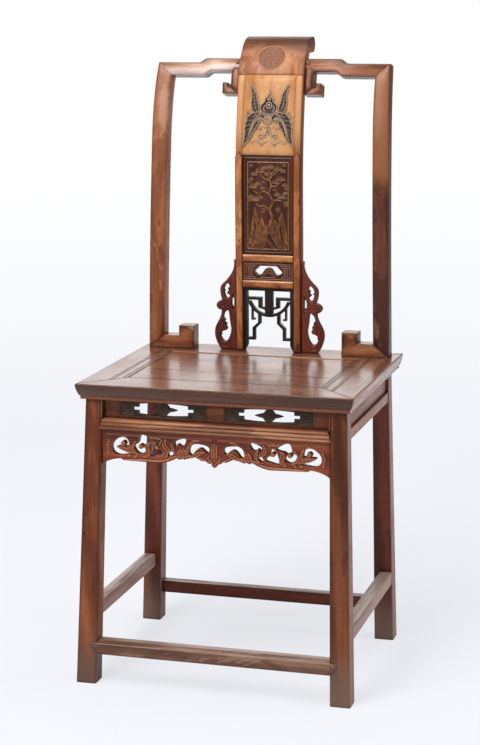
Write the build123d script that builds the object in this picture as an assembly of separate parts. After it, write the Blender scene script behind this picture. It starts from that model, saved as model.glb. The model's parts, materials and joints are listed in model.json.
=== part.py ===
"""Side chair with a scrolled splat and hooked crest rails, built piece by piece.

Millimetres. X runs across the seat, Y from front to back, Z up from the floor.
Pieces are laid out about the middle of the seat and moved at the end, so that the
origin lies on the floor under the middle of the whole chair.
"""

import math
import os

from build123d import *

# ---------------------------------------------------------------- driving dimensions
# Seat frame
SEAT_HEIGHT = 520.0
SEAT_WIDTH = 478.0
SEAT_DEPTH = 415.0
SEAT_THICK = 27.0
FRONT_RAIL_WIDTH = 75.0
REAR_RAIL_WIDTH = 94.0
SIDE_RAIL_WIDTH = 70.0
EDGE_INSET = 7.3            # how far the lower fillet of the seat edge stands back
EDGE_FILLET_HEIGHT = 6.0
EDGE_ARRIS = 1.5
GROOVE_LINES = (3.5, 8.0, 20.5, 25.0)   # moulding lines, from a side rail's inner edge
GROOVE_LINE_WIDTH = 1.2
GROOVE_LINE_DEPTH = 0.8

# Seat panel
PANEL_THICK = 12.0
PANEL_TONGUE_THICK = 5.0
PANEL_TONGUE_DEPTH = 7.0
PANEL_GAP = 0.6             # open joint between panel and frame, seen from above
FRONT_BOARD_SHARE = 0.34    # the front board's part of the panel's depth
BATTEN_WIDTH = 26.0
BATTEN_SPACING = 170.0
BATTEN_TENON = 9.0

# Legs
LEG_TOP_SIZE = 30.0
LEG_FOOT_SIZE = 35.0
LEG_OUT_TOP = 225.5         # half width over the legs under the seat
LEG_OUT_FLOOR = 240.5       # half width over the feet
FRONT_LEG_SETBACK = 15.5    # front legs' face behind the seat's front edge, under the seat
FRONT_LEG_SPLAY = 29.0      # how far that face comes forward down to the floor
REAR_LEG_SETBACK = 64.5     # rear legs' front face before the seat's rear edge
REAR_LEG_SPLAY = 4.5
LEG_ROUND = 3.0
LEG_TENON = 10.0            # square tenons up into the seat frame
LEG_TENON_HEIGHT = 10.0

# Upper rails, frieze boards and apron
FRIEZE_HEIGHT = 33.0
RAIL_HEIGHT = 18.0
RAIL_DEPTH = 22.0
BEAD_RAIL_PROUD = 1.0       # front rail's core in front of the legs' face at its height
BEAD_RAIL_DEPTH = 24.0
BEAD_LAP = (194.5, 199.5)   # |X| of the beads' ends, at the rail's top and bottom
BEAD_RADII = (2.6, 2.9, 2.2)
BEAD_DROPS = (2.6, 8.9, 15.3)   # bead centres below the rail's top
SIDE_RAIL_INSET = 1.5       # side and rear rails behind the legs' outer face
FRIEZE_THICK = 11.0
FRIEZE_SETBACK = 11.5       # front frieze behind the front rail's core
SIDE_FRIEZE_SETBACK = 5.0
WINDOW_LENGTH = 150.0
WINDOW_CENTRE = 91.3
WINDOW_SILL = 5.8           # height of the windows above the front rail
WINDOW_HEIGHT = 23.6
INSERT_RECESS = 2.0
INSERT_THICK = 6.0
APRON_THICK = 10.0
APRON_SETBACK = 4.5         # apron behind the front rail's core
OPENING_SHIFTS = {          # sideways shift of each apron opening, from end to middle
    "left": (-3.5, -1.0, 0.0, 0.0, 0.0, 0.0),
    "right": (-0.5, 0.0, 0.0, 12.0, 4.0, 7.5),
}

# Stretchers
FRONT_STRETCHER_BOTTOM = 53.0
FRONT_STRETCHER_HEIGHT = 22.5
FRONT_STRETCHER_DEPTH = 27.0
FRONT_STRETCHER_PROUD = 1.8
STRETCHER_LAP = 10.5        # length of the front stretcher's lap over each leg's face
REAR_STRETCHER_BOTTOM = 52.0
REAR_STRETCHER_HEIGHT = 22.5
REAR_STRETCHER_DEPTH = 21.0
SIDE_STRETCHER_BOTTOM = 104.0
SIDE_STRETCHER_HEIGHT = 24.0
SIDE_STRETCHER_WIDTH = 22.5
SIDE_STRETCHER_INSET = 4.5      # side stretchers' outer face inwards from the feet's outer face
STRETCHER_ROUND = 2.0
PEG_RADIUS = 2.2
PEG_DEPTH = 20.0

# Back posts and crest
POST_SIZE = 30.0
POST_DEPTH = 30.0
POST_OUT_SEAT = 225.0
POST_OUT_TOP = 213.8
POST_IN_TOP = 187.0         # inner corner of the posts' upper mitre
POST_SHOULDER = {"left": 221.5, "right": 217.2}     # |X| of the outer face at the bend
POST_SETBACK = 58.8         # posts' front face before the seat's rear edge
POST_LOWER_RADIUS = 4500.0
POST_BEND_RISE = 380.0      # height over the seat where the posts bend back more sharply
POST_UPPER_RADIUS = 760.0
POST_ROUND = 4.5
CREST_LEAN = 14.5           # degrees that crest rails and hooks lean back
CREST_RISE = 519.7          # height of the crest's outer ends over the seat
CREST_RAIL_HEIGHT = 23.0
CREST_STEP = 7.8
STEP_TOP = (140.0, 121.5)   # |X| where the top line starts and ends its step
STEP_BOTTOM = (129.5, 112.0)
HOOK_WIDTH = 15.0
HOOK_GAP = 0.3
HOOK_DROP = 54.7            # hooks' foot below the crest's outer ends
HOOK_BAR_HEIGHT = 11.0
HOOK_REACH = 91.0
HOOK_TIP_WIDTH = 10.5
HOOK_TIP_LENGTH = 19.5
CREST_TENON = (10.0, 8.0)   # tenon depth (Y) and height (Z) through the hook into the splat
CREST_TENON_LENGTH = 11.0
FOOT_LENGTH = 87.0
FOOT_HEIGHT = 24.0
FOOT_BLOCK_WIDTH = 29.0
FOOT_BLOCK_HEIGHT = 43.0
POST_TENON_IN = (28.5, 21.0)    # from the post's outer face at the seat
POST_TENON_BACK = (14.3, 26.3)  # behind the post's front face at the seat
POST_TENON_DEPTH = 11.0

# Splat
SPLAT_HALF_BASE = 61.5
SPLAT_HALF_TOP = 60.0
SPLAT_DEPTH = 20.0
SPLAT_SETBACK = 54.5        # splat's foremost line before the seat's rear edge
SPLAT_BULGE_RISE = 310.0
SPLAT_RADIUS = 814.0
SPLAT_LEAN = 1.0            # degrees that the straight lower part leans forward
SEAM_ANGLE = 13.35          # degrees of backward lean where the scroll block starts
STILE_INNER = 47.0
STILE_ROUND = 4.0
SCROLL_NECK_RADIUS = 78.0
SCROLL_NECK_ANGLE = 41.0
SCROLL_RUN = 15.0
SCROLL_CROWN_RADIUS = 62.7
SCROLL_ROLL_RADIUS = 14.0
BUTTERFLY_RISE = 357.0      # heights over the seat of the board's and the rails' undersides
MIDDLE_RAIL_RISE = 163.5
LOWER_RAIL_RISE = 116.5
SPLAT_RAIL_HEIGHT = 14.0
INFILL_RECESS = 3.0
FRET_RECESS = 2.0
INFILL_THICK = 8.0
TONGUE_DEPTH = 4.0
SPLAT_TENON_DEPTH = 9.0
BACK_FLUSH_THICK = 16.0

# Lattice in the foot of the splat
LATTICE_RECESS = 5.0
LATTICE_SIDE = 7.5
LATTICE_TOP = 5.5
STEM_HALF = 7.5
STEM_DROP = 40.5            # drops are measured down from the lower rail
ARC_RADIUS = 41.5
ARC_DROP = 53.5
LATTICE_BAR = 5.5
ELBOW_OUTER = 20.0
ELBOW_INNER = 13.0
ELBOW_DROP = 17.0
STEP_LEG_INNER = 15.0
LEG_JOG_DROP = 65.5
LEG_JOG_HEIGHT = 10.0
LEG_JOG_OUT = 10.5
FOOT_BAR_RISE = 20.0        # foot bars over the seat
HOOKLET_OUTER = 33.0
HOOKLET_WIDTH = 3.2
HOOKLET_LENGTH = 7.0
HOOKLET_DROP = 59.5

# Wings beside the splat
WING_THICK = 10.0
WING_RECESS = 5.0
WING_TOP = 166.5            # height over the seat
WING_TONGUE = (20.0, 140.0) # heights over the seat

# Clearances
JOINT_GAP = 0.15            # around every tenon and tongue
TONGUE_GAP = 0.3            # past the end of every tenon and tongue
TENON_ROOT = 8.0            # length of a tenon inside its own rail
RAIL_TENON = 11.6           # depth of rails' and side stretchers' tenons in the legs
SIDE_TENON_THICK = 10.0
FRIEZE_TENON = 7.0
STRETCHER_TENON = 15.0

# ---------------------------------------------------------------- worked-out places
SEAT_UNDER = SEAT_HEIGHT - SEAT_THICK
HALF_WIDTH = SEAT_WIDTH / 2
HALF_DEPTH = SEAT_DEPTH / 2
FIELD_HALF = HALF_WIDTH - SIDE_RAIL_WIDTH
FIELD_FRONT = -HALF_DEPTH + FRONT_RAIL_WIDTH
FIELD_REAR = HALF_DEPTH - REAR_RAIL_WIDTH
RAIL_TOP = SEAT_UNDER - FRIEZE_HEIGHT
RAIL_BOTTOM = RAIL_TOP - RAIL_HEIGHT
WINDOW_BOTTOM = RAIL_TOP + WINDOW_SILL
WINDOW_TOP = WINDOW_BOTTOM + WINDOW_HEIGHT
FRONT_LEG_FACE_TOP = FRONT_LEG_SETBACK - HALF_DEPTH
FRONT_LEG_FACE_FLOOR = FRONT_LEG_FACE_TOP - FRONT_LEG_SPLAY
REAR_LEG_FACE_TOP = HALF_DEPTH - REAR_LEG_SETBACK
REAR_LEG_FACE_FLOOR = REAR_LEG_FACE_TOP - REAR_LEG_SPLAY
POST_FACE = HALF_DEPTH - POST_SETBACK
POST_BEND_HEIGHT = SEAT_HEIGHT + POST_BEND_RISE
CREST_HEIGHT = SEAT_HEIGHT + CREST_RISE
HOOK_FOOT = CREST_HEIGHT - HOOK_DROP
HOOK_TIP_HEIGHT = HOOK_FOOT + HOOK_TIP_LENGTH
FOOT_BLOCK_TOP = SEAT_HEIGHT + FOOT_BLOCK_HEIGHT
SPLAT_BULGE_FACE = HALF_DEPTH - SPLAT_SETBACK
SPLAT_BULGE_HEIGHT = SEAT_HEIGHT + SPLAT_BULGE_RISE
BUTTERFLY_FOOT = SEAT_HEIGHT + BUTTERFLY_RISE
MIDDLE_RAIL = (SEAT_HEIGHT + MIDDLE_RAIL_RISE, SEAT_HEIGHT + MIDDLE_RAIL_RISE + SPLAT_RAIL_HEIGHT)
LOWER_RAIL = (SEAT_HEIGHT + LOWER_RAIL_RISE, SEAT_HEIGHT + LOWER_RAIL_RISE + SPLAT_RAIL_HEIGHT)

nodes = {}


# ---------------------------------------------------------------- shape helpers
def block(x0, x1, y0, y1, z0, z1):
    """Rectangular block between two corners."""
    centre = ((x0 + x1) / 2, (y0 + y1) / 2, (z0 + z1) / 2)
    return Pos(*centre) * Box(abs(x1 - x0), abs(y1 - y0), abs(z1 - z0))


def prism_y(face, y0, y1):
    """Face drawn as (X, Z), carried from y0 back to y1."""
    plane = Plane(origin=(0, y1, 0), x_dir=(1, 0, 0), z_dir=(0, -1, 0))
    return extrude(plane * face, y1 - y0)


def prism_x(face, x0, x1):
    """Face drawn as (Y, Z), carried from x0 across to x1."""
    plane = Plane(origin=(x0, 0, 0), x_dir=(0, 1, 0), z_dir=(1, 0, 0))
    return extrude(plane * face, x1 - x0)


def polygon(*points):
    """Straight-sided face through the points."""
    return make_face(Polyline(*points, close=True))


def loop(*points):
    """Smooth closed face through the points."""
    return make_face(Spline(*points, periodic=True))


def mirrored(solid):
    """The same solid on the other side of the chair."""
    return mirror(solid, about=Plane.YZ)


def both_sides(solid):
    """A solid and its mirror image as one."""
    return solid + mirrored(solid)


def one_solid(shape):
    """The largest solid of a cut, without the offcuts."""
    return max(shape.solids(), key=lambda s: s.volume)


def grow_block(x0, x1, y0, y1, z0, z1, gap=JOINT_GAP, end_gap=TONGUE_GAP, along="x"):
    """Mortise for a tenon of the given size: the gap around it and the end gap along it."""
    margins = {axis: end_gap if axis == along else gap for axis in "xyz"}
    return block(
        x0 - margins["x"], x1 + margins["x"],
        y0 - margins["y"], y1 + margins["y"],
        z0 - margins["z"], z1 + margins["z"],
    )


# ---------------------------------------------------------------- legs
def at_height(floor_value, top_value, z):
    """Straight change between the floor and the seat's underside."""
    return floor_value + (top_value - floor_value) * z / SEAT_UNDER


def leg_size(z):
    return at_height(LEG_FOOT_SIZE, LEG_TOP_SIZE, z)


def leg_out(z):
    """Half width over the legs' outer faces."""
    return at_height(LEG_OUT_FLOOR, LEG_OUT_TOP, z)


def leg_inner(z):
    """|X| of the legs' inner faces."""
    return leg_out(z) - leg_size(z)


def front_face(z):
    """Y of the front legs' front face."""
    return at_height(FRONT_LEG_FACE_FLOOR, FRONT_LEG_FACE_TOP, z)


def rear_face(z):
    """Y of the rear legs' front face."""
    return at_height(REAR_LEG_FACE_FLOOR, REAR_LEG_FACE_TOP, z)


def leg_section(face_at, z):
    """Level section of the right leg whose front face lies at face_at(z)."""
    size = leg_size(z)
    centre = Pos(leg_out(z) - size / 2, face_at(z) + size / 2, z)
    return centre * Rectangle(size, size)


def leg_blank(face_at):
    """Splayed and tapered right leg with rounded arrises, before its mortises."""
    shaft = loft([leg_section(face_at, 0), leg_section(face_at, SEAT_UNDER)], ruled=True)
    arrises = shaft.edges().filter_by(lambda e: e.length > SEAT_UNDER / 2)
    return fillet(arrises, LEG_ROUND)


FRONT_LEG = leg_blank(front_face)
REAR_LEG = leg_blank(rear_face)
ALL_LEGS = [FRONT_LEG, mirrored(FRONT_LEG), REAR_LEG, mirrored(REAR_LEG)]
leg_cuts = []


def fit_between_legs(bar, tenons):
    """Bar shouldered against the legs, with its tenons; the legs get matching mortises."""
    for leg in ALL_LEGS:
        bar = bar - leg
    bar = one_solid(bar)
    for x0, x1, y0, y1, z0, z1, along in tenons:
        bar = bar + block(x0, x1, y0, y1, z0, z1)
        leg_cuts.append(grow_block(x0, x1, y0, y1, z0, z1, along=along))
    return bar


def both_tenons(y0, y1, z0, z1, depth):
    """A cross rail's two tenons, right and left, to the given depth in the legs."""
    inner = leg_inner((z0 + z1) / 2)
    x0, x1 = inner - TENON_ROOT, inner + depth
    return [(x0, x1, y0, y1, z0, z1, "x"), (-x1, -x0, y0, y1, z0, z1, "x")]


def long_tenons(x, z0, z1):
    """Tenons into the front and the rear leg of a side rail whose middle lies at x."""
    z = (z0 + z1) / 2
    front = front_face(z) + leg_size(z)
    rear = rear_face(z)
    x0, x1 = x - SIDE_TENON_THICK / 2, x + SIDE_TENON_THICK / 2
    return [
        (x0, x1, front - RAIL_TENON, front + TENON_ROOT, z0, z1, "y"),
        (x0, x1, rear - TENON_ROOT, rear + RAIL_TENON, z0, z1, "y"),
    ]


# ---------------------------------------------------------------- seat frame
def edge_section():
    """Moulded seat edge as (distance outwards from the field, Z), for an edge at zero."""
    low = SEAT_UNDER + EDGE_FILLET_HEIGHT
    outline = [
        Line((-FRONT_RAIL_WIDTH * 2, SEAT_UNDER), (-EDGE_INSET, SEAT_UNDER)),
        Line((-EDGE_INSET, SEAT_UNDER), (-EDGE_INSET, low)),
        Line((-EDGE_INSET, low), (-EDGE_INSET + EDGE_ARRIS, low)),
        ThreePointArc(
            (-EDGE_INSET + EDGE_ARRIS, low),
            (-EDGE_ARRIS, (low + SEAT_HEIGHT) / 2),
            (0, SEAT_HEIGHT - EDGE_ARRIS),
        ),
        Line((0, SEAT_HEIGHT - EDGE_ARRIS), (-EDGE_ARRIS, SEAT_HEIGHT)),
        Line((-EDGE_ARRIS, SEAT_HEIGHT), (-FRONT_RAIL_WIDTH * 2, SEAT_HEIGHT)),
        Line((-FRONT_RAIL_WIDTH * 2, SEAT_HEIGHT), (-FRONT_RAIL_WIDTH * 2, SEAT_UNDER)),
    ]
    return make_face(outline)


def moulded_slab(direction):
    """Slab whose edge profile faces front, rear, left or right."""
    angle = {"right": 0, "rear": 90, "left": 180, "front": 270}[direction]
    reach = HALF_WIDTH if direction in ("left", "right") else HALF_DEPTH
    plane = Plane(origin=(reach, -SEAT_WIDTH, 0), x_dir=(1, 0, 0), z_dir=(0, -1, 0))
    slab = extrude(plane * edge_section(), -2 * SEAT_WIDTH)
    return Rot(0, 0, angle) * slab


def mitred_plan(*corners):
    """Plan outline of one rail as a tall prism."""
    return extrude(Pos(0, 0, SEAT_UNDER - 1) * polygon(*corners), SEAT_THICK + 2)


def seat_rails():
    """Four mitred rails: plan trapezoids with the edge moulding, before their grooves."""
    outer = {"x": HALF_WIDTH, "front": -HALF_DEPTH, "rear": HALF_DEPTH}
    front = mitred_plan(
        (-outer["x"], outer["front"]), (outer["x"], outer["front"]),
        (FIELD_HALF, FIELD_FRONT), (-FIELD_HALF, FIELD_FRONT),
    )
    rear = mitred_plan(
        (-outer["x"], outer["rear"]), (-FIELD_HALF, FIELD_REAR),
        (FIELD_HALF, FIELD_REAR), (outer["x"], outer["rear"]),
    )
    right = mitred_plan(
        (outer["x"], outer["front"]), (outer["x"], outer["rear"]),
        (FIELD_HALF, FIELD_REAR), (FIELD_HALF, FIELD_FRONT),
    )
    return {
        "front": one_solid(front & moulded_slab("front")),
        "rear": one_solid(rear & moulded_slab("rear")),
        "right": one_solid(right & moulded_slab("right")),
    }


TONGUE_BOTTOM = SEAT_HEIGHT - PANEL_THICK
TONGUE_TOP = TONGUE_BOTTOM + PANEL_TONGUE_THICK


def field_slab(margin, z0, z1):
    """Slab over the seat's field, grown by the margin on all four sides."""
    return block(
        -FIELD_HALF - margin, FIELD_HALF + margin,
        FIELD_FRONT - margin, FIELD_REAR + margin, z0, z1,
    )


def mitre_tenon(front):
    """Right side rail's tenon across a mitre, as the corners of a block."""
    x = (HALF_WIDTH + FIELD_HALF) / 2
    if front:
        y = (FIELD_FRONT - HALF_DEPTH) / 2
        return (x - 12, x + 8, y - 22, y + 20, SEAT_UNDER + 12, SEAT_UNDER + 20)
    y = (FIELD_REAR + HALF_DEPTH) / 2
    return (x - 14, x + 1, y - 24, y + 22, SEAT_UNDER + 3, SEAT_UNDER + 9)


def leg_tenons():
    """Blocks of the right legs' tenons in the seat frame, front legs first."""
    z0, z1 = SEAT_UNDER, SEAT_UNDER + LEG_TENON_HEIGHT
    front_x = LEG_OUT_TOP - LEG_TOP_SIZE / 2
    front_y = FRONT_LEG_FACE_TOP + LEG_TOP_SIZE / 2
    shift = LEG_TENON * 0.75
    half = LEG_TENON / 2
    front = []
    for side in (1, -1):
        x = front_x - side * shift
        y = front_y - side * shift
        front.append((x - half, x + half, y - half, y + half, z0, z1))
    rear_x = LEG_OUT_TOP - LEG_TENON
    rear_y = REAR_LEG_FACE_TOP + LEG_TENON
    rear = (rear_x - half, rear_x + half, rear_y - half, rear_y + half, z0, z1)
    return front, rear


FRONT_TENONS, REAR_TENON = leg_tenons()


def grown(corners, along):
    """Mortise for a tenon given by its corners."""
    return grow_block(*corners, along=along)


# ---------------------------------------------------------------- back frame surfaces
def post_curve(depth):
    """Posts' side profile, depth behind the front face: low point, bend point, top point."""
    lower = POST_LOWER_RADIUS - depth
    centre_y = POST_FACE + POST_LOWER_RADIUS
    bend_angle = math.asin((POST_BEND_HEIGHT - SEAT_HEIGHT) / POST_LOWER_RADIUS)
    bend = (centre_y - lower * math.cos(bend_angle), SEAT_HEIGHT + lower * math.sin(bend_angle))
    middle = (
        centre_y - lower * math.cos(bend_angle / 2),
        SEAT_HEIGHT + lower * math.sin(bend_angle / 2),
    )
    shift = POST_LOWER_RADIUS - POST_UPPER_RADIUS
    upper_y = centre_y - shift * math.cos(bend_angle)
    upper_z = SEAT_HEIGHT + shift * math.sin(bend_angle)
    upper = POST_UPPER_RADIUS - depth
    top_angle = bend_angle + 0.26
    half_angle = (bend_angle + top_angle) / 2
    half = (upper_y - upper * math.cos(half_angle), upper_z + upper * math.sin(half_angle))
    top = (upper_y - upper * math.cos(top_angle), upper_z + upper * math.sin(top_angle))
    low = (POST_FACE + depth, SEAT_HEIGHT)
    return low, middle, bend, half, top


def post_band(depth0, depth1):
    """Curved slab between two depths behind the posts' front face."""
    a = post_curve(depth0)
    b = post_curve(depth1)
    outline = [
        ThreePointArc(a[0], a[1], a[2]),
        ThreePointArc(a[2], a[3], a[4]),
        Line(a[4], b[4]),
        ThreePointArc(b[4], b[3], b[2]),
        ThreePointArc(b[2], b[1], b[0]),
        Line(b[0], a[0]),
    ]
    return prism_x(make_face(outline), -HALF_WIDTH, HALF_WIDTH)


def splat_point(angle, depth):
    """Point (Y, Z) on the splat's main arc at a lean in degrees, depth behind the face."""
    lean = math.radians(angle)
    radius = SPLAT_RADIUS - depth
    return (
        SPLAT_BULGE_FACE + SPLAT_RADIUS - radius * math.cos(lean),
        SPLAT_BULGE_HEIGHT + radius * math.sin(lean),
    )


def splat_face_y(z, depth=0.0):
    """Y of the splat's surface at a height, depth behind the front face."""
    tangent = splat_point(-SPLAT_LEAN, depth)
    if z <= tangent[1]:
        return tangent[0] + (tangent[1] - z) * math.tan(math.radians(SPLAT_LEAN))
    rise = (z - SPLAT_BULGE_HEIGHT) / (SPLAT_RADIUS - depth)
    return SPLAT_BULGE_FACE + SPLAT_RADIUS - (SPLAT_RADIUS - depth) * math.cos(math.asin(rise))


def splat_band(depth0, depth1, half_width=HALF_WIDTH):
    """Curved slab between two depths behind the splat's front face, seat to scroll seam."""
    edges = []
    ends = []
    for depth in (depth0, depth1):
        foot = (splat_face_y(SEAT_HEIGHT, depth), SEAT_HEIGHT)
        tangent = splat_point(-SPLAT_LEAN, depth)
        middle = splat_point((SEAM_ANGLE - SPLAT_LEAN) / 2, depth)
        seam = splat_point(SEAM_ANGLE, depth)
        edges += [Line(foot, tangent), ThreePointArc(tangent, middle, seam)]
        ends.append((foot, seam))
    edges.append(Line(ends[0][0], ends[1][0]))
    edges.append(Line(ends[0][1], ends[1][1]))
    return prism_x(make_face(edges), -half_width, half_width)


def splat_piece(face, depth0, depth1):
    """Front outline (X, Z) cut out of a curved slab of the splat."""
    return prism_y(face, 0, HALF_DEPTH + 60) & splat_band(depth0, depth1)


def post_piece(face, depth0=0.0, depth1=POST_DEPTH):
    """Front outline (X, Z) cut out of a curved slab of the back frame."""
    return prism_y(face, 0, HALF_DEPTH + 60) & post_band(depth0, depth1)


# ---------------------------------------------------------------- back posts and crest
def lean_origin():
    """Point (Y, Z) on the posts' front face where its lean is that of the crest."""
    bend_angle = math.asin((POST_BEND_HEIGHT - SEAT_HEIGHT) / POST_LOWER_RADIUS)
    shift = POST_LOWER_RADIUS - POST_UPPER_RADIUS
    lean = math.radians(CREST_LEAN)
    centre_y = POST_FACE + POST_LOWER_RADIUS - shift * math.cos(bend_angle)
    centre_z = SEAT_HEIGHT + shift * math.sin(bend_angle)
    return (
        centre_y - POST_UPPER_RADIUS * math.cos(lean),
        centre_z + POST_UPPER_RADIUS * math.sin(lean),
    )


LEAN_Y, LEAN_Z = lean_origin()
LEAN_COS = math.cos(math.radians(CREST_LEAN))
LEAN_SIN = math.sin(math.radians(CREST_LEAN))


def leaning(*points):
    """Points given as (X, height) on the leaning front face, in that face's own plane."""
    return [(x, (z - LEAN_Z) / LEAN_COS) for x, z in points]


def leaning_prism(face):
    """Face drawn in the leaning plane, carried square to it both ways."""
    plane = Plane(
        origin=(0, LEAN_Y, LEAN_Z), x_dir=(1, 0, 0), z_dir=(0, -LEAN_COS, LEAN_SIN)
    )
    return extrude(plane * face, 2 * POST_DEPTH, both=True)


def crest_piece(face):
    """Outline drawn in the leaning plane, cut out of the back frame's slab."""
    return leaning_prism(face) & post_band(0, POST_DEPTH)


CREST_UNDER = CREST_HEIGHT - CREST_RAIL_HEIGHT
FOOT_TOP = SEAT_HEIGHT + FOOT_HEIGHT
MITRE_OUT = (POST_OUT_TOP, CREST_HEIGHT)
MITRE_IN = (POST_IN_TOP, CREST_UNDER)
FOOT_MITRE_OUT = (POST_OUT_SEAT, SEAT_HEIGHT)
FOOT_MITRE_IN = (POST_OUT_SEAT - POST_SIZE, FOOT_TOP)


def above_mitre():
    """Region on the crest rail's side of the upper mitre."""
    run = (MITRE_OUT[0] - MITRE_IN[0], MITRE_OUT[1] - MITRE_IN[1])
    low = (MITRE_IN[0] - run[0], MITRE_IN[1] - run[1])
    high = (MITRE_OUT[0] + run[0], MITRE_OUT[1] + run[1])
    return polygon(*leaning(low, high, (high[0] - 60, high[1] + 60), (low[0] - 60, low[1] + 60)))


def post_edge(foot, shoulder, top):
    """One edge of a post in front view: straight up to the bend, then eased inwards."""
    bend = (shoulder, POST_BEND_HEIGHT)
    rise = (top[1] - bend[1]) * 0.6
    slope = (bend[0] - foot[0]) / (bend[1] - foot[1])
    first = (bend[0] + slope * rise, bend[1] + rise)
    second = ((first[0] + top[0]) / 2, (first[1] + 2 * top[1]) / 3)
    return [Line(foot, bend), Bezier(bend, first, second, top)]


def back_post(shoulder):
    """Right post: mitred to the crest rail above and to the foot bracket below."""
    outer = post_edge(FOOT_MITRE_OUT, shoulder, MITRE_OUT)
    inner = post_edge(FOOT_MITRE_IN, shoulder - POST_SIZE, MITRE_IN)
    ends = [Line(MITRE_OUT, MITRE_IN), Line(FOOT_MITRE_IN, FOOT_MITRE_OUT)]
    post = one_solid(post_piece(make_face(outer + inner + ends)) - leaning_prism(above_mitre()))
    long_arrises = post.edges().filter_by(lambda e: e.length > 100)
    return fillet(long_arrises, POST_ROUND)


def post_foot():
    """Right foot bracket: bar along the seat with an upturned block at its inner end."""
    inner = POST_OUT_SEAT - FOOT_LENGTH
    face = polygon(
        FOOT_MITRE_OUT, FOOT_MITRE_IN,
        (inner + FOOT_BLOCK_WIDTH, FOOT_TOP),
        (inner + FOOT_BLOCK_WIDTH, FOOT_BLOCK_TOP),
        (inner, FOOT_BLOCK_TOP),
        (inner, SEAT_HEIGHT),
    )
    return post_piece(face)


def post_tenon():
    """Right post's tenon, down through the foot bracket into the rear seat rail."""
    return (
        POST_OUT_SEAT - POST_TENON_IN[0], POST_OUT_SEAT - POST_TENON_IN[1],
        POST_FACE + POST_TENON_BACK[0], POST_FACE + POST_TENON_BACK[1],
        SEAT_HEIGHT - POST_TENON_DEPTH, FOOT_TOP + TENON_ROOT,
    )


HOOK_IN = SPLAT_HALF_TOP + HOOK_GAP
HOOK_OUT = HOOK_IN + HOOK_WIDTH
CREST_TOP = CREST_HEIGHT + CREST_STEP
CREST_STEP_UNDER = CREST_UNDER + CREST_STEP


def stepped(start, end, z0, z1):
    """S-curve between two levels that leaves and meets them level."""
    reach = (start - end) / 2
    return Bezier(*leaning((start, z0), (start - reach, z0), (start - reach, z1), (end, z1)))


def crest_rail():
    """Right crest rail: stepped bar from the post's mitre to the hook's mitre."""
    face = make_face([
        Line(*leaning(MITRE_OUT, (STEP_TOP[0], CREST_HEIGHT))),
        stepped(STEP_TOP[0], STEP_TOP[1], CREST_HEIGHT, CREST_TOP),
        Line(*leaning((STEP_TOP[1], CREST_TOP), (HOOK_IN, CREST_TOP))),
        Line(*leaning((HOOK_IN, CREST_TOP), (HOOK_OUT, CREST_STEP_UNDER))),
        Line(*leaning((HOOK_OUT, CREST_STEP_UNDER), (STEP_BOTTOM[1], CREST_STEP_UNDER))),
        stepped(STEP_BOTTOM[1], STEP_BOTTOM[0], CREST_STEP_UNDER, CREST_UNDER),
        Line(*leaning((STEP_BOTTOM[0], CREST_UNDER), MITRE_IN)),
        Line(*leaning(MITRE_IN, MITRE_OUT)),
    ])
    return crest_piece(face)


def crest_hook():
    """Right hook's drop, mitred to the crest rail above and to the tip below."""
    return crest_piece(polygon(*leaning(
        (HOOK_IN, CREST_TOP), (HOOK_OUT, CREST_STEP_UNDER),
        (HOOK_OUT, HOOK_FOOT + HOOK_BAR_HEIGHT), (HOOK_IN, HOOK_FOOT),
    )))


def crest_hook_tip():
    """Right hook's outward return with its upturned end."""
    return crest_piece(polygon(*leaning(
        (HOOK_IN, HOOK_FOOT), (HOOK_OUT, HOOK_FOOT + HOOK_BAR_HEIGHT),
        (HOOK_REACH - HOOK_TIP_WIDTH, HOOK_FOOT + HOOK_BAR_HEIGHT),
        (HOOK_REACH - HOOK_TIP_WIDTH, HOOK_TIP_HEIGHT),
        (HOOK_REACH, HOOK_TIP_HEIGHT), (HOOK_REACH, HOOK_FOOT),
    )))


def crest_tenon():
    """Right crest rail's tenon through the hook into the scroll block."""
    middle_z = (CREST_STEP_UNDER + CREST_TOP) / 2 - 4
    depth, height = CREST_TENON
    return (
        SPLAT_HALF_TOP - CREST_TENON_LENGTH, HOOK_OUT + 6,
        SCROLL_TENON_Y, SCROLL_TENON_Y + depth,
        middle_z - height / 2, middle_z + height / 2,
    )


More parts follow.
